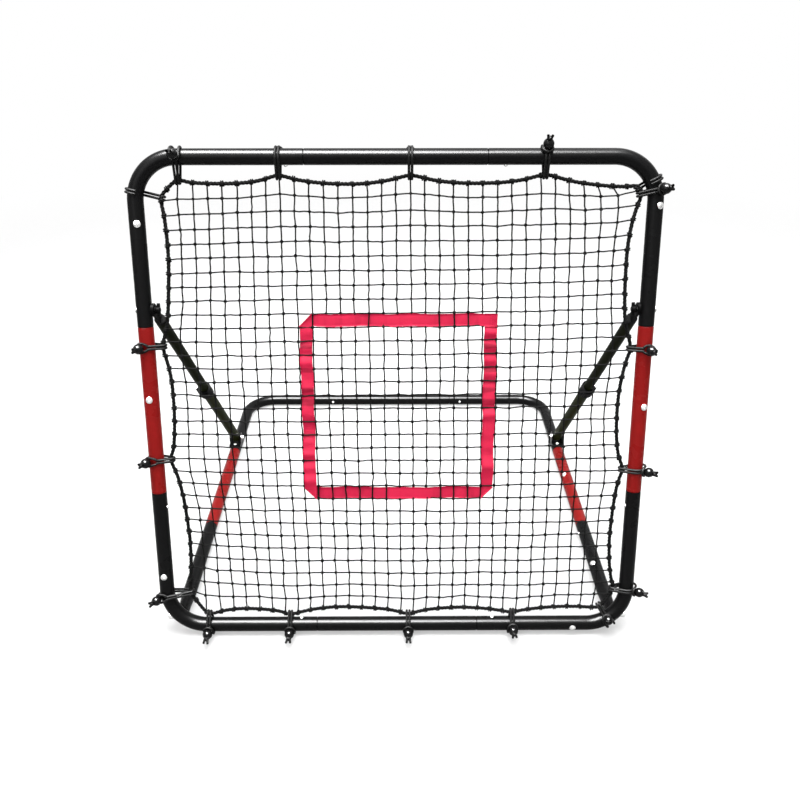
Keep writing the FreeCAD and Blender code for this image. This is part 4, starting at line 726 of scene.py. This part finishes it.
def rope_inset(tie, along):
    """How far inside the tube's axis the rope runs, at a place along the tube."""
    foot = tie.point(0, 0, along)
    line = [in_frame(*spot) - foot for spot in rope_line()]
    found = []
    for start, end in zip(line, line[1:] + line[:1]):
        low, high = start.dot(tie.along), end.dot(tie.along)
        if low * high <= 0 and low != high:
            spot = start.lerp(end, low / (low - high))
            inward = -spot.dot(tie.outward)
            if 0 < inward < FARTHEST:
                found.append(inward)
    return min(found)


# The net's meshes, pulled by the rope

# Rounds of evening out the meshes
ROUNDS = 900
# How far the lower edge's meshes are slid to the right, as a share of that edge
LOWER_SLIDE = 0.015
# How far a node strays from its even place
LOOSENESS = 0.0006


def net_bend(grid_row, grid_column):
    """How far a node stands back from the frame's plane, from its row and column as shares."""
    return settings("net").sag * math.sin(math.pi * grid_row) * math.sin(math.pi * grid_column)


def corner_place(side, rise):
    """Length along the rope to a corner of the net: left or right (-1 or 1) and lower or upper (-1 or 1)."""
    line = rope_line()
    angles = np.arctan2(line[:, 1] - FRAME_HEIGHT / 2, line[:, 0])
    aim = math.atan2(rise * FRAME_HEIGHT / 2, side * HALF_WIDTH)
    return rope_lengths()[int(np.argmin(np.abs(angles - aim)))]


def net_edge(start, end, pieces, slide=0.0):
    """Even places along the rope between two corners of the net, slid towards the second."""
    begin, stop, total = corner_place(*start), corner_place(*end), rope_lengths()[-1]
    if stop < begin:
        stop += total
    if stop - begin > total / 2:
        stop -= total
    parts = np.linspace(0, 1, pieces + 1)
    parts += slide * (1 - 0.7 * parts) * np.minimum(1, np.minimum(parts, 1 - parts) / 0.06)
    places = (begin + (stop - begin) * parts) % total
    closed = np.vstack([rope_line(), rope_line()[:1]])
    return np.stack([np.interp(places, rope_lengths(), closed[:, part]) for part in (0, 1)], axis=1)


def relaxed(bottom, top, left, right):
    """A grid inside four edges, each inner node in the middle of its neighbours."""
    u = np.linspace(0, 1, len(bottom))[None, :, None]
    v = np.linspace(0, 1, len(left))[:, None, None]
    grid = (1 - v) * bottom[None] + v * top[None] + (1 - u) * left[:, None] + u * right[:, None]
    grid -= (1 - u) * (1 - v) * bottom[0] + u * (1 - v) * bottom[-1] + (1 - u) * v * top[0] + u * v * top[-1]
    grid[0], grid[-1], grid[:, 0], grid[:, -1] = bottom, top, left, right
    for _ in range(ROUNDS):
        grid[1:-1, 1:-1] = (grid[:-2, 1:-1] + grid[2:, 1:-1] + grid[1:-1, :-2] + grid[1:-1, 2:]) / 4
    return grid


@functools.lru_cache(maxsize=None)
def net_nodes():
    """The net's nodes, rows from the bottom and columns from the left, as a list of rows of three numbers."""
    net = settings("net")
    rows, columns = net.rows, net.columns
    grid = relaxed(
        net_edge((-1, -1), (1, -1), columns, LOWER_SLIDE),
        net_edge((-1, 1), (1, 1), columns),
        net_edge((-1, -1), (-1, 1), rows),
        net_edge((1, -1), (1, 1), rows),
    )
    draw = random.Random(11)
    nodes = []
    for row in range(rows + 1):
        nodes.append([])
        for column in range(columns + 1):
            high, wide = row / rows, column / columns
            inside = 0 < row < rows and 0 < column < columns
            loose = LOOSENESS if inside else 0
            waist = math.sin(math.pi * wide)
            # The shift is greatest low in the net, and the drop above its middle
            shift = net.shift * math.sin(math.pi * high**0.35) * waist
            drop = net.drop * math.sin(math.pi * high**1.3) * min(1, 2.2 * waist)
            x = grid[row, column, 0] + shift + draw.gauss(0, loose)
            y = grid[row, column, 1] - drop + draw.gauss(0, loose)
            nodes[-1].append((x, y, net_bend(high, wide) + draw.gauss(0, loose / 2)))
    return nodes


def node_point(row, column):
    """A node of the net as a point of the scene."""
    return in_frame(*net_nodes()[row][column])


# Operators


class RebounderOperator(Operator):
    """One piece or group of pieces."""

    bl_options = {"REGISTER", "UNDO"}

    def execute(self, context):
        self.make()
        return {"FINISHED"}


WHITE = (1, 1, 1, 1)
# Width in mm of the camera's sensor, and in pixels of the image that the focal length is given for
SENSOR, IMAGE = 36, 800
# The point that the lamps in front and behind face
AIM = (0, LOW_BAR.y / 3, 0.45)
# Each lamp's name, place, the point it faces, its size, its watts and whether it lights matt surfaces
LAMPS = (
    ("key", (-1.7, -2.9, 2.6), AIM, (2.4, 2.0), 42, True),
    ("back", (1.9, 2.2, 2.3), AIM, (2.0, 1.6), 14, True),
    ("top", (0, -0.2, 3.2), (0, -0.1, 0), (3.0, 2.4), 220, True),
    ("strip", (-1.7, -2.4, 12), (0, 0, 0.4), (8.4, 5.4), 36000, False),
)
# How far the floor reaches each way, and how far it lies under the object
FLOOR_REACH = 60.0
FLOOR_GAP = 0.0004
# The floor's darker and lighter grey, and its own light, which only the camera sees
FLOOR_TONES = (0.42, 0.45)
FLOOR_LIFT = 0.4
# The floor turns white from so far from the middle, over so much farther
FLOOR_FADE = (1.4, 2.4)


class REBOUNDER_OT_stage(RebounderOperator):
    """Pale floor, soft studio lamps and the camera"""

    bl_idname = "rebounder.stage"
    bl_label = "Floor, lamps and camera"

    def make(self):
        stage = settings("stage")
        scene = bpy.context.scene
        scene.view_settings.view_transform = "Standard"
        data = bpy.data.cameras.new("camera")
        data.sensor_width = SENSOR
        data.lens = SENSOR * stage.focal / IMAGE
        data.clip_end = 200
        camera = link(bpy.data.objects.new("camera", data))
        camera.location = (0, LOW_BAR.y - stage.away, stage.height)
        camera.rotation_euler = (math.radians(90 - stage.pitch), 0, math.radians(-stage.yaw))
        scene.camera = camera
        self.make_world(stage.fill)
        self.make_floor()
        for lamp in LAMPS:
            self.make_lamp(*lamp)

    def make_world(self, fill):
        """White where the camera, a reflection or something clear sees it, and an even fill for the rest."""
        world = bpy.data.worlds.new("studio")
        bpy.context.scene.world = world
        world.use_nodes = True
        tree = Tree(world.node_tree)
        rays = tree.add("ShaderNodeLightPath")
        seen = rays["Is Camera Ray"].math("MAXIMUM", rays["Is Glossy Ray"])
        seen = seen.math("MAXIMUM", rays["Is Transmission Ray"])
        background = world.node_tree.nodes["Background"]
        tree.put(background.inputs["Color"], WHITE)
        tree.put(background.inputs["Strength"], fill + seen * (1 - fill))

    def make_floor(self):
        """Wide pale floor that keeps the object's shadow and turns white far away."""
        sides = ((-1, -1), (1, -1), (1, 1), (-1, 1))
        corners = [(x * FLOOR_REACH, y * FLOOR_REACH, FLOOR - FLOOR_GAP) for x, y in sides]
        floor = new_object("floor", corners, (), [(0, 1, 2, 3)])
        finish = Finish("pale_floor")
        nodes = finish.tree.nodes
        nodes.remove(finish.shader)
        seen = finish.add("ShaderNodeLightPath")["Is Camera Ray"]
        far = finish.add("ShaderNodeVectorMath", {0: finish.place}, operation="LENGTH")["Value"].above(*FLOOR_FADE)
        tint = finish.between(finish.noise(14, 3), (1, 1, 1), *FLOOR_TONES)
        paper = finish.add("ShaderNodeBsdfDiffuse", {"Color": tint})["BSDF"]
        lift = finish.add("ShaderNodeEmission", {"Color": WHITE, "Strength": seen * FLOOR_LIFT})["Emission"]
        near = finish.add("ShaderNodeAddShader", {0: paper, 1: lift})["Shader"]
        white = finish.add("ShaderNodeEmission", {"Color": WHITE, "Strength": 1.0})["Emission"]
        mix = finish.add("ShaderNodeMixShader", {0: far * seen, 1: near, 2: white})["Shader"]
        finish.put(nodes["Material Output"].inputs["Surface"], mix)
        floor.data.materials.append(finish.material)

    def make_lamp(self, name, place, focus, size, watts, diffuse):
        """Rectangular lamp at a place, turned to a point."""
        data = bpy.data.lights.new(name, "AREA")
        data.shape = "RECTANGLE"
        data.size, data.size_y = size
        data.energy = watts
        lamp = link(bpy.data.objects.new(name, data))
        lamp.location = place
        lamp.rotation_euler = (Vector(focus) - Vector(place)).to_track_quat("-Z", "Y").to_euler()
        lamp.visible_diffuse = diffuse


class REBOUNDER_OT_finishes(RebounderOperator):
    """Paint, plating and plastic of the tubes and fittings"""

    bl_idname = "rebounder.finishes"
    bl_label = "Tubes and fittings"

    def make(self):
        paint = settings("paint")
        finishes = {
            "frame_black": gloss_paint("black_paint", paint.black),
            "frame_red": gloss_paint("red_paint", paint.red),
            "strut_grey": gloss_paint("strut_paint", paint.strut, 0.36, 0.01),
            "strut_upper": gloss_paint("strut_upper_paint", times(paint.strut, 0.5), 0.36, 0.008),
            "zinc_steel": zinc("bright_zinc", paint.steel),
            "black_plastic": moulded("black_plastic", paint.plastic, 0.42, 0.00006, 0.015),
            "ball_black": moulded("ball_gloss", paint.plastic, 0.16, 0.00001, 0.14),
        }
        for subpart in frame["record"]["subparts"]:
            slot = subpart.get("material_slot")
            if slot in finishes:
                piece = frame["nodes"][subpart["node"]]
                if not piece.material_slots:
                    piece.data.materials.append(None)
                if subpart["node"].endswith("strut_upper_tube"):
                    slot = "strut_upper"
                for place in piece.material_slots:
                    place.material = finishes[slot]


# A strand's radius as a share of the rope's diameter, and the rings of points in one turn of the strands
STRAND_SHARE = 0.262
TURN_RINGS = 13


class REBOUNDER_OT_rope(RebounderOperator):
    """Twisted border rope round the net"""

    bl_idname = "rebounder.rope"
    bl_label = "Border rope"

    def make(self):
        net = settings("net")
        turns = round(float(rope_lengths()[-1]) / net.lay)
        strand = net.rope * STRAND_SHARE
        values = {
            "Points": turns * TURN_RINGS,
            "Turns": turns,
            "Offset": net.rope / 2 - strand,
            "Radius": strand,
            "Sides": 7,
            "Plane": tuple(BACK),
            "Material": laid("rope_strand", settings("paint").cord, 5, 0.009, 0.0003),
        }
        source = polylines("rope_source", [[in_frame(*spot) for spot in rope_line()]], closed=True)
        rope = grown("border_rope", source, rope_group("rope tree"), values)
        ride(rope, "front_frame", "rope_black", "net_border_rope")


# How far the twine strays between two knots
STRAY = 0.00032
# Each of a knot's two turns of twine: its tilt, and its lift in twine's diameters
KNOT_TURNS = ((0.6, -0.3), (-0.7, 0.3))
KNOT_STEPS = 9
HITCH_STEPS = 24


class REBOUNDER_OT_net(RebounderOperator):
    """Knotted square net and its hitches on the border rope"""

    bl_idname = "rebounder.net"
    bl_label = "Net"

    def make(self):
        net = settings("net")
        material = laid("net_twine", settings("paint").cord, 2, 0.0042, 0.00022)
        draw = random.Random(5)
        inner_rows, inner_columns = range(1, net.rows), range(1, net.columns)
        lines = [[node_point(row, column) for column in range(net.columns + 1)] for row in inner_rows]
        lines += [[node_point(row, column) for row in range(net.rows + 1)] for column in inner_columns]
        twine = corded("net_twine", [self.uneven(line, draw) for line in lines], net.twine / 2, 6, material)
        ride(twine, "front_frame", "net_black", "net")
        spots = [node_point(row, column) for row in inner_rows for column in inner_columns]
        knots = (self.knot_shape(net), spots, [BACK] * len(spots), material)
        ride(scattered("net_knots", *knots, Scatter=0.14, Turn=math.pi, Seed=3), "front_frame", "net_black")
        hitches = (self.hitch_shape(net), *self.edge_nodes(net), material)
        ride(scattered("net_hitches", *hitches, Scatter=0.06, Turn=math.pi, Seed=7), "front_frame", "net_black")

    def uneven(self, spots, draw):
        """The twine between knots, with a little slack."""
        line = [spots[0]]
        for start, end in zip(spots, spots[1:]):
            for share in (0.33, 0.67):
                line.append(start.lerp(end, share) + Vector([draw.gauss(0, STRAY) for _ in range(3)]))
            line.append(end)
        return line

    def knot_shape(self, net):
        """A knot: two crossed turns of twine."""
        rings = []
        wide = net.knot / 2 - net.twine / 2
        for tilt, lift in KNOT_TURNS:
            ring = []
            for angle in steps(0, math.tau, KNOT_STEPS)[:-1]:
                spot = Vector((wide * math.cos(angle), wide * 0.8 * math.sin(angle), 0))
                spot.rotate(Matrix.Rotation(tilt, 3, "Y"))
                ring.append(spot + Vector((0, 0, lift * net.twine)))
            rings.append(ring)
        return corded("knot_shape", rings, net.twine * 0.5, 6, closed=True)

    def hitch_shape(self, net):
        """A hitch: twine twice round the rope, drawn tight."""
        reach, rise = net.rope / 2 + net.twine * 0.22, net.twine * 2.3
        turns = zip(steps(0, 2 * math.tau, HITCH_STEPS), steps(-0.5, 0.5, HITCH_STEPS))
        line = [Vector((reach * math.cos(angle), reach * math.sin(angle), rise * share)) for angle, share in turns]
        return corded("hitch_shape", [line], net.twine * 0.48, 6)

    def edge_nodes(self, net):
        """The net's nodes on the rope, with the rope's own direction there."""
        last_row, last_column = net.rows, net.columns
        ring = [(0, column) for column in range(last_column)]
        ring += [(row, last_column) for row in range(last_row)]
        ring += [(last_row, column) for column in range(last_column, 0, -1)]
        ring += [(row, 0) for row in range(last_row, 0, -1)]
        points = [node_point(*place) for place in ring]
        ways = [after - before for before, after in zip(points[-1:] + points[:-1], points[1:] + points[:1])]
        return points, ways


# Near its ends a strap stays in front of the net, over this length
STRAP_MARGIN = 0.02
# A strap's cross sections stand so far apart, with so many gaps between their points
STRAP_STEP = 0.003
STRAP_LANES = 6
# Between a strap and the twine, and between two layers of strap
STRAP_GAP = 0.0001
LAYER_GAP = 0.0018
# How far a strap takes to rise onto the layer below
RISE_LENGTH = 0.012
# The chance that a strap passes behind a twine, after one in front and after one behind
BEHIND = (0.27, 0.55)
# Between twines that stand farther apart than this a strap hangs out or in, within these limits for each kind
LONG_GAP = 0.012
STRAP_SLACK = {"across": (-0.0025, 0.0015), "up": (-0.0085, 0.003)}
# How far away on both sides a strap's kinks are rounded
KINK = 0.004
# How high a strap ripples, how far its edges turn back, and how far it strays sideways
RIPPLES = (0.0004, 0.0003)
CUP = 0.0004
STRAP_STRAY = 0.0007
FOLD_STEPS = 12
# Seam: rows and their distance, gaps between a row's stitches, how far in they start across and upwards, how far
# they lie in front of the net and zigzag, and a stitch's length and slant
SEAM_ROWS = 3
SEAM_PITCH = 0.004
SEAM_GAPS = 8
SEAM_INSET = (0.0035, 0.0025)
SEAM_LIFT = 0.00035
ZIGZAG = 0.0006
STITCH = 0.0028
STITCH_SLANT = 0.7


class REBOUNDER_OT_target(RebounderOperator):
    """Webbing target woven through the net, with its folded corners and seam"""

    bl_idname = "rebounder.target"
    bl_label = "Webbing target"

    def make(self):
        target = settings("target")
        half = target.width / 2
        left, right = self.column_middle(target.left), self.column_middle(target.right)
        low, high = self.row_middle(target.low), self.row_middle(target.high)
        lift = target.thickness + LAYER_GAP
        # Each strap: its kind, its two ends, its middle, the slants and lifts of both ends, its lane and its seed
        straps = (
            ("across", left - half, right + half, high, (1, 0), (0, 0), target.high, 21),
            ("across", left - half, right + half, low, (-1, 1), (lift, 0), target.low, 4),
            ("up", low - half, high + half, left, (-1, 1), (0, lift), target.left, 9),
            ("up", low - half, high + half, right, (1, 0), (lift, lift), target.right, 16),
        )
        mesh = bmesh.new()
        layer = mesh.loops.layers.uv.new("UVMap")
        for strap in straps:
            self.add_strap(mesh, layer, target, *strap)
        data = bpy.data.meshes.new("target_straps")
        mesh.to_mesh(data)
        mesh.free()
        webbing = woven("red_webbing", settings("paint").webbing, target.width)
        data.materials.append(webbing)
        straps_piece = link(bpy.data.objects.new("target_straps", data))
        ride(straps_piece, "front_frame", "webbing_red", "target_webbing")
        self.make_folds(target, left, right, low, high, webbing)
        self.make_seam(target, right, high)

    def column_middle(self, column):
        """Middle of a column of meshes at the target."""
        row = net_nodes()[len(net_nodes()) // 2]
        return (row[column][0] + row[column + 1][0]) / 2

    def row_middle(self, row):
        """Middle of a row of meshes at the target."""
        column = len(net_nodes()[0]) // 2
        return (net_nodes()[row][column][1] + net_nodes()[row + 1][column][1]) / 2

    def crossings(self, kind, lane):
        """Where the net's twines cross a strap, along it."""
        nodes = net_nodes()
        if kind == "across":
            return [(below[0] + above[0]) / 2 for below, above in zip(nodes[lane], nodes[lane + 1])]
        return [(row[lane][1] + row[lane + 1][1]) / 2 for row in nodes]

    def wave(self, target, kind, start, end, lane, draw):
        """Places along a strap, and how far back it lies at them: before most twines and behind some."""
        proud = settings("net").twine / 2 + target.thickness / 2 + STRAP_GAP
        marks = [(start - STRAP_MARGIN, -proud), (start, -proud)]
        under = False
        for spot in self.crossings(kind, lane):
            if start + STRAP_MARGIN < spot < end - STRAP_MARGIN:
                under = draw.random() < BEHIND[under]
                marks.append((spot, proud if under else -proud))
            elif start < spot < end:
                marks.append((spot, -proud))
        marks += [(end, -proud), (end + STRAP_MARGIN, -proud)]
        marks.sort()
        for (spot, height), (after, next_height) in list(zip(marks, marks[1:])):
            if after - spot > LONG_GAP:
                slack = draw.uniform(*STRAP_SLACK[kind])
                marks.append(((spot + after) / 2, (height + next_height) / 2 + slack))
        return zip(*sorted(marks))

    def add_strap(self, mesh, layer, target, kind, start, end, centre, slants, lifts, lane, seed):
        """A flat strap as a closed shell, waved by the twines and rippled."""
        draw = random.Random(seed)
        places, heights = self.wave(target, kind, start, end, lane, draw)
        ripple = [draw.uniform(0, math.tau) for _ in range(3)]
        half = target.width / 2
        rings = []
        for share in steps(0, 1, round((end - start) / STRAP_STEP)):
            ring = []
            for v in steps(-half, half, STRAP_LANES):
                first = start + abs(slants[0]) * half + slants[0] * v
                last = end - abs(slants[1]) * half + slants[1] * v
                run = first + (last - first) * share
                back = np.interp([run, run, run - KINK, run + KINK], places, heights).mean()
                back += RIPPLES[0] * math.sin(run * 95 + v * 50 + ripple[0])
                back += RIPPLES[1] * math.sin(run * 210 + v * 90 + ripple[1])
                back += CUP * (v / half) ** 2
                for gap, lift in ((run - start, lifts[0]), (end - run, lifts[1])):
                    back += lift * min(1, max(0, (target.width + RISE_LENGTH - gap) / RISE_LENGTH))
                side = v + STRAP_STRAY * math.sin(run * 60 + ripple[2])
                flat = (run, centre + side) if kind == "across" else (centre + side, run)
                ring.append((flat, self.sagged(flat, back), run, v))
            rings.append(ring)
        self.add_shell(mesh, layer, rings, target.thickness, kind == "across")

    def sagged(self, flat, back):
        """How far back a spot of the frame's plane comes to lie, with the net's own sag added."""
        nodes = net_nodes()
        row, column = nodes[len(nodes) // 2], len(nodes[0]) // 2
        low, high, left, right = nodes[0][column][1], nodes[-1][column][1], row[0][0], row[-1][0]
        return back + net_bend((flat[1] - low) / (high - low), (flat[0] - left) / (right - left))

    def add_shell(self, mesh, layer, rings, thickness, across):
        """Front, back and edges of a strap from its rows of points."""
        sheets = []
        for side in (-0.5 * thickness, 0.5 * thickness):
            spots = [[in_frame(*flat, back + side) for flat, back, _, _ in ring] for ring in rings]
            sheets.append([[mesh.verts.new(spot) for spot in ring] for ring in spots])

        def add(flip, *corners):
            """One face from its corners: each a sheet (0 in front), a ring and a lane."""
            if flip:
                corners = corners[::-1]
            face = mesh.faces.new([sheets[sheet][ring][lane] for sheet, ring, lane in corners])
            face.smooth = True
            for loop, (_, ring, lane) in zip(face.loops, corners):
                loop[layer].uv = rings[ring][lane][2:]

        last_ring, last_lane = len(rings) - 1, len(rings[0]) - 1
        for r in range(last_ring):
            for lane in range(last_lane):
                for sheet, flip in ((0, across), (1, not across)):
                    add(flip, (sheet, r, lane), (sheet, r, lane + 1), (sheet, r + 1, lane + 1), (sheet, r + 1, lane))
            for lane in (0, last_lane):
                add((lane == 0) != across, (0, r, lane), (0, r + 1, lane), (1, r + 1, lane), (1, r, lane))
        for r in (0, last_ring):
            for lane in range(last_lane):
                add((r == 0) == across, (0, r, lane), (0, r, lane + 1), (1, r, lane + 1), (1, r, lane))

    def make_folds(self, target, left, right, low, high, webbing):
        """Rounded folds along the slanted corners."""
        half = target.width / 2
        proud = settings("net").twine / 2
        lines = []
        for x, y, side_x, side_y in ((left, high, -1, 1), (left, low, -1, -1), (right, low, 1, -1)):
            across = steps(x + side_x * half, x - side_x * half, FOLD_STEPS)
            upward = steps(y - side_y * half, y + side_y * half, FOLD_STEPS)
            lines.append([in_frame(*flat, self.sagged(flat, -proud)) for flat in zip(across, upward)])
        folds = corded("target_folds", lines, target.thickness * 0.95, 8, webbing)
        ride(folds, "front_frame", "webbing_red")

    def make_seam(self, target, right, high):
        """Rows of stitches where the webbing's ends overlap."""
        back = -(settings("net").twine + target.thickness + SEAM_LIFT)
        half = target.width / 2
        inset_x, inset_y = SEAM_INSET
        spots, ways = [], []
        for row in range(SEAM_ROWS):
            x = right + half - inset_x - row * SEAM_PITCH
            for step, y in enumerate(steps(high - half + inset_y, high + half - inset_y, SEAM_GAPS)):
                side = 1 if step % 2 else -1
                flat = (x + side * ZIGZAG, y)
                spots.append(in_frame(*flat, self.sagged(flat, back)))
                ways.append(UP + ACROSS * side * STITCH_SLANT)
        line = [Vector((0, 0, place)) for place in steps(-STITCH / 2, STITCH / 2, 6)]
        shape = corded("stitch_shape", [line], 0.0004, 6)
        thread = laid("seam_thread", times(settings("paint").webbing, 1.15), 3, 0.002, 0.0001)
        ride(scattered("target_seam", shape, spots, ways, thread, Scatter=0.08, Seed=2), "front_frame", "webbing_red")


# Free ends behind a ball's knot, under the lower bar and elsewhere
FLOOR_TAIL, TAIL = 0.0135, 0.0085
# Between a ball and the cords on the tube
BALL_GAP = 0.0006
# How far a cord stands out where it crosses another, in cord's diameters
CROSSING = 0.62
# Degrees round the tube from a ball to the far side of its bight: long for balls turned back past a limit
BIGHT_LIMIT, LONG_BIGHT, BIGHT = -60, 46, 25
# The pair between a ball and the tube: places off the tube in balls' diameters, with degrees turned round it
PAIR = ((0.9, 0), (0.5, 0), (0.24, 1), (0.06, 5))
PAIR_END = 13
# How much wider the two free ends stand, their greatest bow, and how far a cord wanders sideways on its way back
SPLAY = (0.15, 0.6)
BOW = 0.004
DRIFT = 0.0008
# Distance between the points of the finished cords, and their least height over the floor
CORD_STEP = 0.0015
LEAST_HEIGHT = 0.0001


class REBOUNDER_OT_bungees(RebounderOperator):
    """Elastic cords of the ball bungees, with their knots"""

    bl_idname = "rebounder.bungees"
    bl_label = "Ball bungees"

    def make(self):
        sizes = settings("bungees")
        draw = random.Random(23)
        lines = []
        for *where, turn, pair in TIES:
            tie = Tie(*where)
            if turn is None:
                lines += [self.plain_loop(tie, sizes, side * sizes.spacing) for side in (-0.5, 0.5)]
            else:
                lines.append(self.cord(tie, sizes, turn, pair, draw))
                lines.append(self.knot(tie, sizes, turn, draw))
        sheath = braided("bungee_sheath", settings("paint").cord)
        cords = corded("bungee_loops", lines, sizes.cord / 2, 12, sheath, step=CORD_STEP)
        for vert in cords.data.vertices:
            vert.co.z = max(vert.co.z, FLOOR + LEAST_HEIGHT)
        ride(cords, "front_frame", "bungee_black", "bungee_cords", "floor_bungee_cords")

    def radii(self, tie, sizes, offset):
        """Of a cord round the tube and round the rope, where the rope runs, and the angle of the straight part."""
        big, small = self.clear(sizes, TUBE_RADIUS), self.clear(sizes, settings("net").rope / 2)
        inset = rope_inset(tie, offset)
        return big, small, inset, math.pi - math.acos((big - small) / inset)

    def clear(self, sizes, radius):
        """Radius of a cord's middle round something."""
        return radius + sizes.gap + sizes.cord / 2

    def ball_end(self, sizes):
        """From a tube's axis to the far end of a ball."""
        return TUBE_RADIUS + sizes.cord + BALL_GAP + sizes.ball

    def plain_loop(self, tie, sizes, offset):
        """A loop without a ball, round the tube and the rope."""
        big, small, inset, touch = self.radii(tie, sizes, offset)
        line = [tie.around(big, angle, offset) for angle in steps(-touch, touch, 20)]
        return line + [tie.around(small, angle, offset, inset) for angle in steps(touch, math.tau - touch, 8)]

    def cord(self, tie, sizes, turn, pair, draw):
        """The whole cord of a ball: an end, one of the pair, round the rope, the bight, and back the same way."""
        begin = -math.radians(turn)
        there, back = [self.half_cord(tie, sizes, begin, pair, side, draw) for side in (1, -1)]
        big = self.clear(sizes, TUBE_RADIUS)
        past = pair * math.radians(LONG_BIGHT if turn < BIGHT_LIMIT else BIGHT)
        bight = []
        for angle in steps(0, math.pi, 8)[1:-1]:
            far = big + sizes.cord * (CROSSING + 0.4 * math.sin(angle))
            bight.append(tie.around(far, begin + past * math.sin(angle), sizes.spread / 2 * math.cos(angle)))
        return there + bight + back[::-1]

    def half_cord(self, tie, sizes, begin, pair, side, draw):
        """Half of a cord, from its end to where the bight starts; the pair runs one way round the tube."""
        near = side * sizes.spacing / 2
        big, small, inset, touch = self.radii(tie, sizes, near)
        splay, bow = draw.uniform(*SPLAY), draw.uniform(-0.5, 0.5)
        tail = FLOOR_TAIL if tie.outward.dot(UP) < -0.9 else TAIL
        line = []
        for past in (1.0, 0.7, 0.35, 0.0):
            far, bend = self.ball_end(sizes) + tail * past, bow * BOW * past**2
            line.append(tie.beside(begin, far, bend, near * (1 + splay * past**2)))
        for place, turned in PAIR:
            line.append(tie.around(big + sizes.ball * place, begin + pair * math.radians(turned), near))
        angles = steps(begin + pair * math.radians(PAIR_END), pair * touch, 8)
        line += [tie.around(big, angle, near) for angle in angles]
        angles = steps(pair * touch, pair * (math.tau - touch), 6)
        line += [tie.around(small, angle, near, inset) for angle in angles]
        drift = draw.uniform(-DRIFT, DRIFT)
        for share in steps(0, 1, 11):
            angle = -pair * touch + (begin + pair * touch) * share
            aside = near + share**0.6 * side * (sizes.spread - sizes.spacing) / 2
            lift = sizes.cord * CROSSING * max(0, share - 0.6) / 0.4
            line.append(tie.around(big + lift, angle, aside + drift * math.sin(math.pi * share)))
        return line

    def knot(self, tie, sizes, turn, draw):
        """Small overhand knot that holds the ball on its cords."""
        middle = self.ball_end(sizes) + sizes.cord * CROSSING
        size = sizes.cord * 0.2
        phase = draw.uniform(0, math.tau)
        line = []
        for angle in steps(0, math.tau, 36):
            one = size * (math.sin(angle) + 2 * math.sin(2 * angle))
            two = size * (math.cos(angle) - 2 * math.cos(2 * angle))
            far = middle - size * 0.9 * math.sin(3 * angle)
            aside = one * math.cos(phase) - two * math.sin(phase)
            along = one * math.sin(phase) + two * math.cos(phase)
            line.append(tie.beside(-math.radians(turn), far, aside, along))
        return line


OPERATORS = (
    REBOUNDER_OT_stage,
    REBOUNDER_OT_finishes,
    REBOUNDER_OT_rope,
    REBOUNDER_OT_net,
    REBOUNDER_OT_target,
    REBOUNDER_OT_bungees,
)


class REBOUNDER_PT_panel(Panel):
    """Sizes, colours and pieces of the rebounder"""

    bl_idname = "REBOUNDER_PT_panel"
    bl_label = "Pitch back rebounder"
    bl_space_type = "VIEW_3D"
    bl_region_type = "UI"
    bl_category = "Rebounder"

    def draw(self, context):
        for group in GROUPS:
            box = self.layout.box()
            values = getattr(context.scene, "rebounder_" + group)
            for name in values.bl_rna.properties.keys():
                if name not in ("name", "rna_type"):
                    box.prop(values, name)
        for operator in OPERATORS:
            self.layout.operator(operator.bl_idname)


def register():
    """Register the classes and hang their values on the scene."""
    for cls in (*GROUPS.values(), *OPERATORS, REBOUNDER_PT_panel):
        bpy.utils.register_class(cls)
    for name, group in GROUPS.items():
        setattr(bpy.types.Scene, "rebounder_" + name, PointerProperty(type=group))


def unregister():
    """Undo register."""
    for name in GROUPS:
        delattr(bpy.types.Scene, "rebounder_" + name)
    for cls in (REBOUNDER_PT_panel, *reversed(OPERATORS), *reversed(tuple(GROUPS.values()))):
        bpy.utils.unregister_class(cls)


def main():
    """Make every piece in order."""
    register()
    for operator in OPERATORS:
        group, name = operator.bl_idname.split(".")
        getattr(getattr(bpy.ops, group), name)()


if __name__ == "__main__":
    main()
